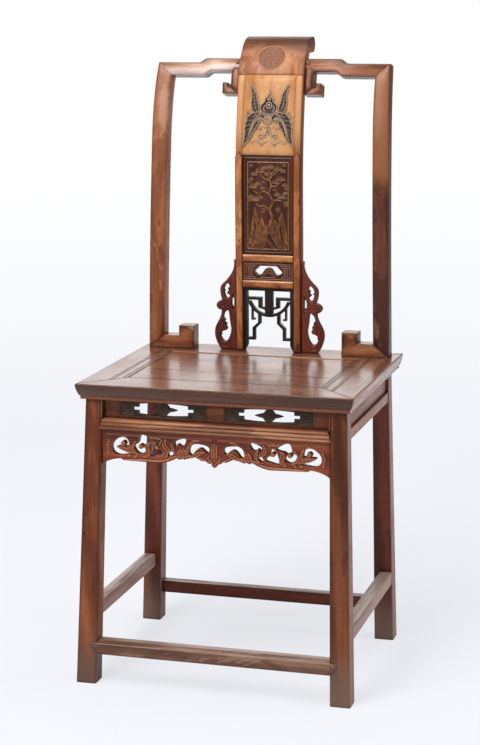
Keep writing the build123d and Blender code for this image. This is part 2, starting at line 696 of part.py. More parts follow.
# ---------------------------------------------------------------- scroll block
def scroll_geometry():
    """Named points (Y, Z) of the scroll block's side profile."""
    seam = math.radians(SEAM_ANGLE)
    neck = math.radians(SCROLL_NECK_ANGLE)
    start = splat_point(SEAM_ANGLE, 0)
    centre = (
        start[0] + SCROLL_NECK_RADIUS * math.cos(seam),
        start[1] - SCROLL_NECK_RADIUS * math.sin(seam),
    )

    def neck_point(angle, depth):
        radius = SCROLL_NECK_RADIUS - depth
        return (centre[0] - radius * math.cos(angle), centre[1] + radius * math.sin(angle))

    run_end = neck_point(neck, 0)
    run_end = (run_end[0] + SCROLL_RUN * math.sin(neck), run_end[1] + SCROLL_RUN * math.cos(neck))
    crown_centre = (
        run_end[0] + SCROLL_CROWN_RADIUS * math.cos(neck),
        run_end[1] - SCROLL_CROWN_RADIUS * math.sin(neck),
    )
    crown = (crown_centre[0], crown_centre[1] + SCROLL_CROWN_RADIUS)
    half = (neck + math.pi / 2) / 2
    crown_mid = (
        crown_centre[0] - SCROLL_CROWN_RADIUS * math.cos(half),
        crown_centre[1] + SCROLL_CROWN_RADIUS * math.sin(half),
    )
    lip_z = crown[1] - 2 * SCROLL_ROLL_RADIUS
    back_run = neck_point(neck, SPLAT_DEPTH)
    lip_y = back_run[0] + (lip_z - back_run[1]) * math.tan(neck)
    return {
        "seam_front": start,
        "neck_mid_front": neck_point((seam + neck) / 2, 0),
        "neck_front": neck_point(neck, 0),
        "run_end": run_end,
        "crown_mid": crown_mid,
        "crown": crown,
        "roll_back": (crown[0] + SCROLL_ROLL_RADIUS, crown[1] - SCROLL_ROLL_RADIUS),
        "lip_back": (crown[0], lip_z),
        "lip_front": (lip_y, lip_z),
        "neck_back": back_run,
        "neck_mid_back": neck_point((seam + neck) / 2, SPLAT_DEPTH),
        "seam_back": splat_point(SEAM_ANGLE, SPLAT_DEPTH),
    }


SCROLL = scroll_geometry()
SCROLL_TENON_Y = SCROLL["neck_mid_back"][0] - CREST_TENON[0] - 1.5


def scroll_block():
    """Cap of the splat, rolled over backwards like the end of a scroll."""
    p = SCROLL
    face = make_face([
        ThreePointArc(p["seam_front"], p["neck_mid_front"], p["neck_front"]),
        Line(p["neck_front"], p["run_end"]),
        ThreePointArc(p["run_end"], p["crown_mid"], p["crown"]),
        ThreePointArc(p["crown"], p["roll_back"], p["lip_back"]),
        Line(p["lip_back"], p["lip_front"]),
        Line(p["lip_front"], p["neck_back"]),
        ThreePointArc(p["neck_back"], p["neck_mid_back"], p["seam_back"]),
        Line(p["seam_back"], p["seam_front"]),
    ])
    return prism_x(face, -SPLAT_HALF_TOP, SPLAT_HALF_TOP)


# ---------------------------------------------------------------- splat pieces
TONGUE_BAND = (8.0, 12.0)   # depth of the tongues and grooves behind the splat's face
INFILL_HALF = STILE_INNER + TONGUE_DEPTH


def rectangle(half, z0, z1):
    """Front outline of a piece that runs evenly across the middle."""
    return polygon((-half, z0), (half, z0), (half, z1), (-half, z1))


def tongue_groove(face):
    """Groove for the tongues, over a front outline."""
    return splat_piece(face, TONGUE_BAND[0] - JOINT_GAP, TONGUE_BAND[1] + JOINT_GAP)


def seam_tenon(x0, x1):
    """Block that runs from the splat up into the scroll block along the lean of the seam."""
    lean = math.radians(SEAM_ANGLE)
    low = [splat_point(SEAM_ANGLE - 0.2, depth) for depth in (7.0, 13.0)]
    rise = (SPLAT_TENON_DEPTH * math.sin(lean), SPLAT_TENON_DEPTH * math.cos(lean))
    high = [(y + rise[0], z + rise[1]) for y, z in low]
    return prism_x(polygon(low[0], low[1], high[1], high[0]), x0, x1)


def seat_tenon(x0, x1):
    """Corners of a splat stile's tenon down into the rear seat rail."""
    y = splat_face_y(SEAT_HEIGHT)
    return (x0, x1, y + 6, y + 14, SEAT_HEIGHT - SPLAT_TENON_DEPTH, SEAT_HEIGHT)


STILE_TENON_X = (52.0, 58.0)


def is_stile_arris(edge):
    """Whether an edge runs up the outer front corner of the right stile."""
    middle = edge.center()
    in_front = middle.Y < splat_face_y(middle.Z, SPLAT_DEPTH / 2)
    return edge.length > SPLAT_DEPTH * 4 and middle.X > (STILE_INNER + SPLAT_HALF_TOP) / 2 and in_front


def splat_stile():
    """Right stile: tapered, grooved on both edges, tenoned to seat and scroll block."""
    top = SCROLL["neck_front"][1]
    face = polygon(
        (STILE_INNER, SEAT_HEIGHT), (SPLAT_HALF_BASE, SEAT_HEIGHT),
        (SPLAT_HALF_TOP, top), (STILE_INNER, top),
    )
    stile = one_solid(splat_piece(face, 0, SPLAT_DEPTH))
    stile = fillet(stile.edges().filter_by(is_stile_arris), STILE_ROUND)
    groove = tongue_groove(rectangle(INFILL_HALF + TONGUE_GAP, SEAT_HEIGHT - 1, top))
    stile = stile - groove - tongue_groove(wing_tongue(TONGUE_GAP))
    tenon = block(*seat_tenon(*STILE_TENON_X))
    return one_solid(stile) + tenon + seam_tenon(*STILE_TENON_X)


def infill_tongue(z0, z1):
    """Tongue around a piece set between the stiles."""
    return splat_piece(rectangle(INFILL_HALF, z0, z1), *TONGUE_BAND)


def butterfly_board():
    """Board that fills the splat from the landscape panel up to the scroll block."""
    top = SCROLL["neck_front"][1]
    board = splat_piece(rectangle(STILE_INNER, BUTTERFLY_FOOT, top), 0, BACK_FLUSH_THICK)
    board = board + infill_tongue(BUTTERFLY_FOOT, top)
    slot = rectangle(STILE_INNER + 10, BUTTERFLY_FOOT - 1, BUTTERFLY_FOOT + TONGUE_DEPTH + TONGUE_GAP)
    return one_solid(board - tongue_groove(slot))


def splat_rail(z0, z1):
    """Cross rail between the stiles, grooved above and below for the panels."""
    rail = splat_piece(rectangle(STILE_INNER, z0, z1), 0, BACK_FLUSH_THICK)
    front = rail.edges().filter_by(
        lambda e: e.length > STILE_INNER and e.center().Y < splat_face_y(z0) + 2
    )
    rail = fillet(front, STILE_ROUND / 2) + infill_tongue(z0, z1)
    depth = TONGUE_DEPTH + TONGUE_GAP
    rail = rail - tongue_groove(rectangle(STILE_INNER + 10, z1 - depth, z1 + 1))
    rail = rail - tongue_groove(rectangle(STILE_INNER + 10, z0 - 1, z0 + depth))
    return one_solid(rail)


def framed_panel(z0, z1, recess):
    """Recessed panel between two cross rails, with a tongue all round."""
    body = splat_piece(rectangle(STILE_INNER, z0, z1), recess, recess + INFILL_THICK)
    return body + infill_tongue(z0 - TONGUE_DEPTH, z1 + TONGUE_DEPTH)


def eyebrow_opening():
    """Arched opening of the small fret panel, with a hill rising in its middle."""
    middle = (MIDDLE_RAIL[0] + LOWER_RAIL[1]) / 2
    top, tip, low = middle + 10, middle - 0.6, middle - 6
    return make_face([
        Polyline((-16, low), (-20, low), (-26.4, tip), (-15.5, top), (15.5, top),
                 (26.4, tip), (20, low), (16, low)),
        Bezier((16, low), (9, low), (9, top - 3), (0, top - 3)),
        Bezier((0, top - 3), (-9, top - 3), (-9, low), (-16, low)),
    ])


def landscape_panel():
    """Lacquered panel carved with a landscape."""
    return framed_panel(MIDDLE_RAIL[1], BUTTERFLY_FOOT, INFILL_RECESS)


def fret_panel():
    """Small panel with the eyebrow-shaped opening."""
    panel = framed_panel(LOWER_RAIL[1], MIDDLE_RAIL[0], FRET_RECESS)
    return panel - prism_y(eyebrow_opening(), 0, HALF_DEPTH)


def lattice_half():
    """Right half of the lattice as a front outline."""
    top = LOWER_RAIL[0]
    stem_foot, arc_low, elbow_top = top - STEM_DROP, top - ARC_DROP, top - ELBOW_DROP
    jog_high, hooklet_foot = top - LEG_JOG_DROP, top - HOOKLET_DROP
    foot_bar = SEAT_HEIGHT + FOOT_BAR_RISE
    inner = STILE_INNER - LATTICE_SIDE
    side = polygon(
        (STILE_INNER, SEAT_HEIGHT), (STILE_INNER - 1.5, SEAT_HEIGHT), (inner, SEAT_HEIGHT + 11),
        (inner, top), (STILE_INNER, top),
    )
    head = polygon((0, top - LATTICE_TOP), (inner, top - LATTICE_TOP), (inner, top), (0, top))
    stem = polygon((0, arc_low + 2), (STEM_HALF, arc_low + 2), (STEM_HALF, top), (0, top))
    elbow = polygon(
        (0, stem_foot), (STEM_HALF, stem_foot), (ELBOW_OUTER, stem_foot + 4),
        (ELBOW_OUTER, elbow_top - LATTICE_BAR), (inner, elbow_top - LATTICE_BAR),
        (inner, elbow_top), (ELBOW_INNER, elbow_top),
        (ELBOW_INNER, stem_foot + LATTICE_BAR), (0, stem_foot + LATTICE_BAR),
    )
    jog_low = (STEP_LEG_INNER + LEG_JOG_OUT, jog_high - LEG_JOG_HEIGHT)
    leg = polygon(
        (STEP_LEG_INNER, arc_low + LATTICE_BAR), (STEP_LEG_INNER, jog_high), jog_low,
        (jog_low[0], foot_bar), (inner, foot_bar), (inner, foot_bar + LATTICE_BAR),
        (jog_low[0] + LATTICE_BAR, foot_bar + LATTICE_BAR),
        (jog_low[0] + LATTICE_BAR, jog_low[1] + 2),
        (STEP_LEG_INNER + LATTICE_BAR, jog_high + 2),
        (STEP_LEG_INNER + LATTICE_BAR, arc_low + LATTICE_BAR + 3),
    )
    hooklet = polygon(
        (HOOKLET_OUTER, arc_low + 22), (HOOKLET_OUTER, hooklet_foot),
        (HOOKLET_OUTER - HOOKLET_LENGTH, hooklet_foot), (HOOKLET_OUTER - HOOKLET_LENGTH, hooklet_foot + HOOKLET_WIDTH),
        (HOOKLET_OUTER - HOOKLET_WIDTH, hooklet_foot + HOOKLET_WIDTH),
        (HOOKLET_OUTER - HOOKLET_WIDTH, arc_low + 18),
    )
    centre = Pos(0, arc_low + ARC_RADIUS)
    ring = centre * (Circle(ARC_RADIUS) - Circle(ARC_RADIUS - LATTICE_BAR))
    swag = ring & Pos(inner / 2, arc_low + 14) * Rectangle(inner, 30)
    return side + head + stem + elbow + leg + hooklet + swag


def lattice():
    """Openwork of bars, a hanging arc and stepped legs in the foot of the splat."""
    half = lattice_half()
    bars = prism_y(half, 0, HALF_DEPTH)
    bars = bars + mirrored(bars)
    body = bars & splat_band(LATTICE_RECESS, LATTICE_RECESS + INFILL_THICK)
    edge = polygon(
        (STILE_INNER - 1, SEAT_HEIGHT + 2), (INFILL_HALF, SEAT_HEIGHT + 2),
        (INFILL_HALF, LOWER_RAIL[0] - 1), (STILE_INNER - 1, LOWER_RAIL[0] - 1),
    )
    head = rectangle(STILE_INNER - 4, LOWER_RAIL[0] - 1, LOWER_RAIL[0] + TONGUE_DEPTH)
    tongues = both_sides(splat_piece(edge, *TONGUE_BAND)) + splat_piece(head, *TONGUE_BAND)
    return one_solid(body + tongues)


# ---------------------------------------------------------------- wings
def wing_tongue(gap=0.0):
    """Front outline of the right wing's tongue in the splat stile."""
    inner = SPLAT_HALF_TOP - 3 - gap
    outer = SPLAT_HALF_BASE + 2.5
    low, high = SEAT_HEIGHT + WING_TONGUE[0] - gap, SEAT_HEIGHT + WING_TONGUE[1] + gap
    return polygon((inner, low), (outer, low), (outer, high), (inner, high))


def wing_outline():
    """Right wing over the seat: leaf above, knob in the middle, round belly below."""
    waist = (87.5, 91.4)
    knob_foot = (89.4, 73.6)
    return make_face([
        Polyline((90.5, 0), (58, 0), (58, WING_TOP), (65.5, WING_TOP)),
        Spline((65.5, WING_TOP), (69.4, 142.6), (81.3, 126.9), (89.8, 117.1), (91, 104), waist),
        Spline(waist, (95.4, 87.8), (98.7, 81), (95, 75), knob_foot),
        Spline(knob_foot, (93.4, 56), (100.6, 41.5), (102.2, 30), (98.8, 15), (90.5, 0)),
    ])


def wing_openings():
    """Three openings of the right wing."""
    upper = loop(
        (78.6, 122.3), (83.8, 115.5), (84, 103), (78.2, 95.3), (73.6, 99.5), (76.3, 106.5),
        (73.6, 112),
    )
    middle = make_face([
        ThreePointArc((65.4, 104), (70.6, 87), (65.4, 72)), Line((65.4, 72), (65.4, 104)),
    ])
    lower = loop(
        (80.4, 71.6), (86, 57), (82, 45), (80.6, 36), (86, 34), (92, 26.5),
        (83.8, 14.8), (71.8, 33), (74, 58),
    )
    return upper, middle, lower


def wing():
    """Right wing, set back from the splat's face and tongued into its stile."""
    on_seat = Pos(0, SEAT_HEIGHT)
    sheet = prism_y(on_seat * wing_outline(), 0, HALF_DEPTH)
    for opening in wing_openings():
        sheet = sheet - prism_y(on_seat * opening, 0, HALF_DEPTH)
    body = sheet & splat_band(WING_RECESS, WING_RECESS + WING_THICK)
    edge = polygon(
        (STILE_INNER, SEAT_HEIGHT - 1), (SPLAT_HALF_BASE, SEAT_HEIGHT),
        (SPLAT_HALF_TOP, SCROLL["neck_front"][1]), (STILE_INNER, SCROLL["neck_front"][1]),
    )
    body = one_solid(body - prism_y(edge, 0, HALF_DEPTH))
    return one_solid(body + splat_piece(wing_tongue(), *TONGUE_BAND))


# ---------------------------------------------------------------- seat assembly
def seat_board(front):
    """Front or rear board of the seat panel, tongued into the frame and to its partner."""
    joint = FIELD_FRONT + FRONT_BOARD_SHARE * (FIELD_REAR - FIELD_FRONT)
    side = FIELD_HALF - PANEL_GAP
    reach = FIELD_HALF + PANEL_TONGUE_DEPTH
    top = block(
        -side, side, FIELD_FRONT + PANEL_GAP, FIELD_REAR - PANEL_GAP, TONGUE_BOTTOM, SEAT_HEIGHT
    )
    tongue = block(
        -reach, reach, FIELD_FRONT - PANEL_TONGUE_DEPTH, FIELD_REAR + PANEL_TONGUE_DEPTH,
        TONGUE_BOTTOM, TONGUE_TOP,
    )
    panel = top + tongue
    loose_tongue = (TONGUE_BOTTOM + 4, TONGUE_BOTTOM + 7)
    if front:
        kept = block(-HALF_WIDTH, HALF_WIDTH, -HALF_DEPTH, joint, SEAT_UNDER, SEAT_HEIGHT)
        return (panel & kept) + block(-side, side, joint, joint + 5, *loose_tongue)
    kept = block(-HALF_WIDTH, HALF_WIDTH, joint, HALF_DEPTH, SEAT_UNDER, SEAT_HEIGHT)
    return (panel & kept) - grow_block(-side, side, joint - 1, joint + 5, *loose_tongue, along="y")


def batten_tenon(x):
    """Corners of one batten's through tenon."""
    return (
        x - BATTEN_WIDTH / 2 + 4, x + BATTEN_WIDTH / 2 - 4,
        FIELD_FRONT - BATTEN_TENON, FIELD_REAR + BATTEN_TENON, SEAT_UNDER + 4, SEAT_UNDER + 10,
    )


def seat_batten(x):
    """Batten under the seat panel, tenoned into the front and rear rails."""
    bar = block(
        x - BATTEN_WIDTH / 2, x + BATTEN_WIDTH / 2, FIELD_FRONT, FIELD_REAR,
        SEAT_UNDER + 1, TONGUE_BOTTOM,
    )
    return bar + block(*batten_tenon(x))


def moulding_lines():
    """Fine lines along the inner part of the right side rail's top."""
    lines = []
    for distance in GROOVE_LINES:
        x = FIELD_HALF + distance
        y0 = FIELD_FRONT - distance * FRONT_RAIL_WIDTH / SIDE_RAIL_WIDTH
        y1 = FIELD_REAR + distance * REAR_RAIL_WIDTH / SIDE_RAIL_WIDTH
        z0 = SEAT_HEIGHT - GROOVE_LINE_DEPTH
        lines.append(block(x, x + GROOVE_LINE_WIDTH, y0, y1, z0, SEAT_HEIGHT + 1))
    return lines


def seat_frame():
    """Rails of the seat, mitred, tenoned and cut for panel, battens, legs and back."""
    rails = seat_rails()
    front, rear, right = rails["front"], rails["rear"], rails["right"]
    groove = field_slab(PANEL_TONGUE_DEPTH + TONGUE_GAP, TONGUE_BOTTOM, TONGUE_TOP + JOINT_GAP)
    mitres = [mitre_tenon(True), mitre_tenon(False)]
    for corners in mitres:
        right = right + block(*corners)
    for slot in moulding_lines():
        right = right - slot
    front_holes = [grown(mitres[0], "y"), grown(FRONT_TENONS[0], "z")]
    rear_holes = [grown(mitres[1], "y"), grown(post_tenon(), "z")]
    rear_holes.append(grown(seat_tenon(*STILE_TENON_X), "z"))
    for hole in front_holes:
        front = front - both_sides(hole)
    for hole in rear_holes:
        rear = rear - both_sides(hole)
    for side in (1, -1):
        hole = grown(batten_tenon(side * BATTEN_SPACING / 2), "y")
        front = front - hole
        rear = rear - hole
    for hole in (grown(FRONT_TENONS[1], "z"), grown(REAR_TENON, "z"), groove):
        right = right - hole
    nodes["seat_rail_front"] = one_solid(front - groove)
    nodes["seat_rail_rear"] = one_solid(rear - groove)
    nodes["seat_rail_right"] = one_solid(right)
    nodes["seat_rail_left"] = mirrored(nodes["seat_rail_right"])
    nodes["seat_board_front"] = seat_board(True)
    nodes["seat_board_rear"] = seat_board(False)
    nodes["seat_batten_right"] = seat_batten(BATTEN_SPACING / 2)
    nodes["seat_batten_left"] = seat_batten(-BATTEN_SPACING / 2)


# ---------------------------------------------------------------- front under-frame
RAIL_MIDDLE = RAIL_TOP - RAIL_HEIGHT / 2
CORE_FRONT = front_face(RAIL_MIDDLE) - BEAD_RAIL_PROUD
FRIEZE_FRONT = CORE_FRONT + FRIEZE_SETBACK
APRON_FRONT = CORE_FRONT + APRON_SETBACK
RAIL_TENON_Z = (RAIL_BOTTOM + 3, RAIL_TOP - 3)
FRONT_TONGUE_REACH = leg_inner(RAIL_TOP) - TENON_ROOT - 1   # half length of the boards' tongues


def centred(front, thick, tongue):
    """Front and back Y of a tongue in the middle of a board's thickness."""
    return front + (thick - tongue) / 2, front + (thick + tongue) / 2


def apron_tongue(gap=0.0):
    """The apron's tongue up into the bead rail."""
    y0, y1 = centred(APRON_FRONT, APRON_THICK, TONGUE_DEPTH + 2 * gap)
    reach = FRONT_TONGUE_REACH + gap
    return block(-reach, reach, y0, y1, RAIL_BOTTOM - 1, RAIL_BOTTOM + TONGUE_DEPTH + 2 * gap)


def frieze_tongue(gap=0.0):
    """The front frieze's tongue down into the bead rail."""
    y0, y1 = centred(FRIEZE_FRONT, FRIEZE_THICK, TONGUE_DEPTH + 2 * gap)
    reach = FRONT_TONGUE_REACH + gap
    return block(-reach, reach, y0, y1, RAIL_TOP - TONGUE_DEPTH - 2 * gap, RAIL_TOP + 1)


def bead_rail():
    """Front rail with two round beads and a thin one, lapping on the legs' faces."""
    back = CORE_FRONT + BEAD_RAIL_DEPTH
    profile = polygon(
        (CORE_FRONT, RAIL_BOTTOM), (CORE_FRONT, RAIL_TOP), (back, RAIL_TOP), (back, RAIL_BOTTOM)
    )
    for radius, drop in zip(BEAD_RADII, BEAD_DROPS):
        profile = profile + Pos(CORE_FRONT, RAIL_TOP - drop) * Circle(radius)
    lap = polygon(
        (-BEAD_LAP[0], RAIL_TOP), (BEAD_LAP[0], RAIL_TOP),
        (BEAD_LAP[1], RAIL_BOTTOM), (-BEAD_LAP[1], RAIL_BOTTOM),
    )
    rail = prism_x(profile, -LEG_OUT_TOP, LEG_OUT_TOP) & prism_y(lap, CORE_FRONT - 5, back)
    rail = rail - apron_tongue(JOINT_GAP) - frieze_tongue(JOINT_GAP)
    y0, y1 = centred(CORE_FRONT, BEAD_RAIL_DEPTH, 10.0)
    return fit_between_legs(rail, both_tenons(y0, y1, *RAIL_TENON_Z, RAIL_TENON))


def window(side, margin, y0, y1):
    """One window of the front frieze, grown by the margin."""
    half = WINDOW_LENGTH / 2 + margin
    x = side * WINDOW_CENTRE
    return block(x - half, x + half, y0, y1, WINDOW_BOTTOM - margin, WINDOW_TOP + margin)


def frieze_board_front():
    """Board under the seat's front rail with two rebated windows."""
    back = FRIEZE_FRONT + FRIEZE_THICK
    board = block(-LEG_OUT_TOP, LEG_OUT_TOP, FRIEZE_FRONT, back, RAIL_TOP, SEAT_UNDER)
    board = board + frieze_tongue()
    for side in (1, -1):
        board = board - window(side, 0, FRIEZE_FRONT - 1, back + 1)
        board = board - window(side, 2, FRIEZE_FRONT + INSERT_RECESS, back + 1)
    y0, y1 = centred(FRIEZE_FRONT, FRIEZE_THICK, 5.0)
    tenons = both_tenons(y0, y1, RAIL_TOP + 10, SEAT_UNDER - 8, FRIEZE_TENON)
    return fit_between_legs(board, tenons)


def insert_opening():
    """Openwork of an insert about its own middle: long cartouche around a spindle flower."""
    field = make_face([
        Spline((0, 10.3), (25, 10), (43, 8.6)), Line((43, 8.6), (43, 3)),
        Line((43, 3), (52.5, 3)), Line((52.5, 3), (52.5, -3)), Line((52.5, -3), (43, -3)),
        Line((43, -3), (43, -8.6)), Spline((43, -8.6), (25, -10), (0, -10.3)),
        Line((0, -10.3), (0, 10.3)),
    ])
    field = field + mirror(field, about=Plane.YZ)
    petal = make_face([
        ThreePointArc((-24.5, 0), (0, 4.5), (24.5, 0)),
        ThreePointArc((24.5, 0), (0, -4.5), (-24.5, 0)),
    ])
    return field - Circle(10.6) - petal


def frieze_insert():
    """Right pierced insert, set into its window from behind."""
    y0 = FRIEZE_FRONT + INSERT_RECESS
    plate = window(1, 2 - JOINT_GAP, y0, y0 + INSERT_THICK)
    middle = (WINDOW_BOTTOM + WINDOW_TOP) / 2
    opening = Pos(WINDOW_CENTRE, middle) * insert_opening()
    return one_solid(plate - prism_y(opening, y0 - 1, y0 + INSERT_THICK + 1))


def apron_half_outline():
    """Right half of the apron, down from its straight top: scalloped foot, small pendant."""
    return make_face([
        Polyline((0, -55.9), (0, 0), (204, 0), (204, -68)),
        Spline((204, -68), (192.5, -58), (178, -52), (164, -49.6)),
        Polyline((164, -49.6), (160, -52.6), (95, -53.7)),
        Spline((95, -53.7), (77, -49.1), (65.3, -43.3)),
        ThreePointArc((65.3, -43.3), (60.2, -45.4), (55.5, -43.4)),
        ThreePointArc((55.5, -43.4), (51.2, -44.8), (47.2, -43.2)),
        Line((47.2, -43.2), (33, -40.1)),
        Spline((33, -40.1), (27.1, -42.8), (20.9, -45.5), (16.2, -45.2)),
        Line((16.2, -45.2), (10, -49.4)),
        Line((10, -49.4), (5, -49.4)),
        ThreePointArc((5, -49.4), (3.4, -54), (0, -55.9)),
    ])


def apron_openings():
    """Openings of one half of the apron between its vines, leaves and berries."""
    end = loop(
        (142, -42.8), (160, -42.6), (177, -42), (181.6, -38), (181.8, -24), (176, -18),
        (167, -13), (155, -17), (152.5, -28), (147.5, -36),
    )
    finger = loop((140, -39), (156, -38.5), (174.5, -29), (160, -28), (146, -30))
    end = end - finger - Pos(163, -23.8) * Circle(4.6)
    second = loop(
        (111, -13.7), (132, -13.4), (135.4, -22.5), (141, -26.5), (138.8, -34), (130.3, -39.6),
        (121.3, -33.5), (122.5, -23),
    )
    second = second - Pos(129.5, -27) * Circle(4.2) - Pos(125, -26.5) * Rectangle(7, 3.4)
    third = loop((100, -17.6), (108.6, -27), (109.4, -43), (99, -41.5), (88, -37.4), (94, -29))
    third = third - Pos(100.3, -27) * Circle(4.1) - Pos(95.5, -28.5) * Rectangle(7, 3.4)
    fourth = loop((61.9, -12), (49.2, -13), (57.8, -22.4), (64, -19.2), (68.2, -25.7), (69.4, -18.4))
    fifth = loop((80.6, -39.1), (76.2, -32.4), (71, -35.4))
    crescent = loop(
        (44, -31.5), (38, -19), (20.7, -17.8), (8.6, -24.7), (10.8, -31.4), (22.3, -24.4),
        (33.2, -29.4), (40.3, -36.6),
    )
    return [end, second, third, fourth, fifth, crescent]


def apron_half(side):
    """Right half of the apron with the openings shifted as they are on the given side."""
    outline = Pos(0, RAIL_BOTTOM) * apron_half_outline()
    half = prism_y(outline, APRON_FRONT, APRON_FRONT + APRON_THICK)
    for opening, shift in zip(apron_openings(), OPENING_SHIFTS[side]):
        moved = Pos(shift, RAIL_BOTTOM) * opening
        half = half - prism_y(moved, APRON_FRONT - 1, APRON_FRONT + APRON_THICK + 1)
    return half


def apron():
    """Carved apron between the front legs, tongued up into the bead rail."""
    return fit_between_legs(apron_half("right") + mirrored(apron_half("left")) + apron_tongue(), [])


# ---------------------------------------------------------------- side and rear under-frame
def rear_back(z):
    """Y of the rear legs' rear face."""
    return rear_face(z) + leg_size(z)


def tongued_pair(outer, axis_block, span):
    """Rail and frieze board with a tongue between them, for an outer face at a distance."""
    reach = span - 50
    rail = axis_block(outer - RAIL_DEPTH, outer, span, RAIL_BOTTOM, RAIL_TOP)
    board_out = outer - SIDE_FRIEZE_SETBACK
    board_in = board_out - FRIEZE_THICK
    board = axis_block(board_in, board_out, span, RAIL_TOP, SEAT_UNDER)
    low = RAIL_TOP - TONGUE_DEPTH
    board = board + axis_block(board_in + 3, board_out - 3, reach, low, RAIL_TOP)
    slot = axis_block(
        board_in + 3 - JOINT_GAP, board_out - 3 + JOINT_GAP, reach + TONGUE_GAP,
        low - TONGUE_GAP, RAIL_TOP + 1,
    )
    return rail - slot, board


def side_pieces():
    """Right upper side rail and frieze board, between the front and rear legs."""
    outer = leg_out(RAIL_MIDDLE) - SIDE_RAIL_INSET

    def along_y(x0, x1, reach, z0, z1):
        return block(x0, x1, -reach, reach, z0, z1)

    rail, board = tongued_pair(outer, along_y, -front_face(RAIL_BOTTOM) - LEG_TOP_SIZE / 2)
    tenons = long_tenons(outer - RAIL_DEPTH / 2, *RAIL_TENON_Z)
    return fit_between_legs(rail, tenons), fit_between_legs(board, [])


def rear_pieces():
    """Upper rear rail and its frieze board, between the rear legs."""
    outer = rear_back(RAIL_MIDDLE) - SIDE_RAIL_INSET

    def along_x(y0, y1, reach, z0, z1):
        return block(-reach, reach, y0, y1, z0, z1)

    rail, board = tongued_pair(outer, along_x, LEG_OUT_TOP - LEG_TOP_SIZE / 2)
    middle = outer - RAIL_DEPTH / 2
    tenons = both_tenons(middle - 5, middle + 5, *RAIL_TENON_Z, RAIL_TENON)
    return fit_between_legs(rail, tenons), fit_between_legs(board, [])


# ---------------------------------------------------------------- stretchers
def stretcher_front():
    """Foot rail: worn down along its front arris, lapped over the front legs."""
    bottom = FRONT_STRETCHER_BOTTOM
    top = bottom + FRONT_STRETCHER_HEIGHT
    front = front_face((bottom + top) / 2) - FRONT_STRETCHER_PROUD
    back = front + FRONT_STRETCHER_DEPTH
    inner = leg_inner(bottom)
    lap = inner + STRETCHER_LAP
    profile = polygon(
        (front, bottom), (front, top - 4), (front + 12, top), (back, top), (back, bottom)
    )
    outline = polygon(
        (-lap, top), (lap, top), (lap, top - 9), (inner, bottom), (-inner, bottom), (-lap, top - 9)
    )
    bar = prism_x(profile, -lap, lap) & prism_y(outline, front, back)
    y0, y1 = centred(front + FRONT_STRETCHER_PROUD, FRONT_STRETCHER_DEPTH, 12.0)
    tenons = both_tenons(y0, y1, bottom + 5, top - 5, STRETCHER_TENON)
    bar = fit_between_legs(bar, tenons)
    return bar - both_sides(stretcher_peg())


def stretcher_peg():
    """Right peg through the front stretcher's lap, the leg and the tenon."""
    z = FRONT_STRETCHER_BOTTOM + FRONT_STRETCHER_HEIGHT / 2
    front = front_face(z) - FRONT_STRETCHER_PROUD
    circle = Pos(leg_inner(z) + STRETCHER_LAP / 2, z) * Circle(PEG_RADIUS)
    return prism_y(circle, front, front + PEG_DEPTH)


def stretcher_rear():
    """Low rail between the rear legs."""
    z0, z1 = REAR_STRETCHER_BOTTOM, REAR_STRETCHER_BOTTOM + REAR_STRETCHER_HEIGHT
    middle = (rear_face(z0) + rear_back(z0)) / 2 + 3
    y0, y1 = middle - REAR_STRETCHER_DEPTH / 2, middle + REAR_STRETCHER_DEPTH / 2
    bar = block(-LEG_OUT_TOP, LEG_OUT_TOP, y0, y1, z0, z1)
    bar = fillet(bar.edges().filter_by(Axis.X), STRETCHER_ROUND)
    tenons = both_tenons(middle - 5, middle + 5, z0 + 5, z1 - 5, RAIL_TENON)
    return fit_between_legs(bar, tenons)


def stretcher_side():
    """Right side rail between the front and rear legs, above the front and rear ones."""
    z0, z1 = SIDE_STRETCHER_BOTTOM, SIDE_STRETCHER_BOTTOM + SIDE_STRETCHER_HEIGHT
    z = (z0 + z1) / 2
    outer = LEG_OUT_FLOOR - SIDE_STRETCHER_INSET
    inner = outer - SIDE_STRETCHER_WIDTH
    front, back = front_face(z) + leg_size(z) / 2, rear_face(z) + leg_size(z) / 2
    bar = block(inner, outer, front, back, z0, z1)
    bar = fillet(bar.edges().filter_by(Axis.Y), STRETCHER_ROUND)
    tenons = long_tenons((inner + outer) / 2, z0 + 5, z1 - 5)
    return fit_between_legs(bar, tenons)


# ---------------------------------------------------------------- assembly
def under_frame():
    """Rails, friezes, apron and stretchers between the legs."""
    nodes["frieze_board_front"] = frieze_board_front()
    nodes["frieze_fret_right"] = frieze_insert()
    nodes["frieze_fret_left"] = mirrored(nodes["frieze_fret_right"])
    nodes["bead_rail_front"] = bead_rail()
    nodes["apron_front"] = apron()
    nodes["side_rail_right"], nodes["frieze_board_right"] = side_pieces()
    nodes["side_rail_left"] = mirrored(nodes["side_rail_right"])
    nodes["frieze_board_left"] = mirrored(nodes["frieze_board_right"])
    nodes["rail_rear"], nodes["frieze_board_rear"] = rear_pieces()
    nodes["stretcher_front"] = stretcher_front()
    nodes["stretcher_rear"] = stretcher_rear()
    nodes["stretcher_right"] = stretcher_side()
    nodes["stretcher_left"] = mirrored(nodes["stretcher_right"])
    nodes["stretcher_pegs"] = Compound(list(both_sides(stretcher_peg()).solids()))


def legs():
    """Four legs with their tenons up into the seat and their mortises."""
    peg = stretcher_peg()
    for name, blank, tenons in (
        ("leg_front", FRONT_LEG, FRONT_TENONS),
        ("leg_rear", REAR_LEG, [REAR_TENON]),
    ):
        leg = blank
        for corners in tenons:
            leg = leg + block(*corners)
        for cut in leg_cuts:
            if cut.center().X > -1:
                leg = leg - cut
        nodes[name + "_right"] = one_solid(leg - peg)
        nodes[name + "_left"] = mirrored(nodes[name + "_right"])


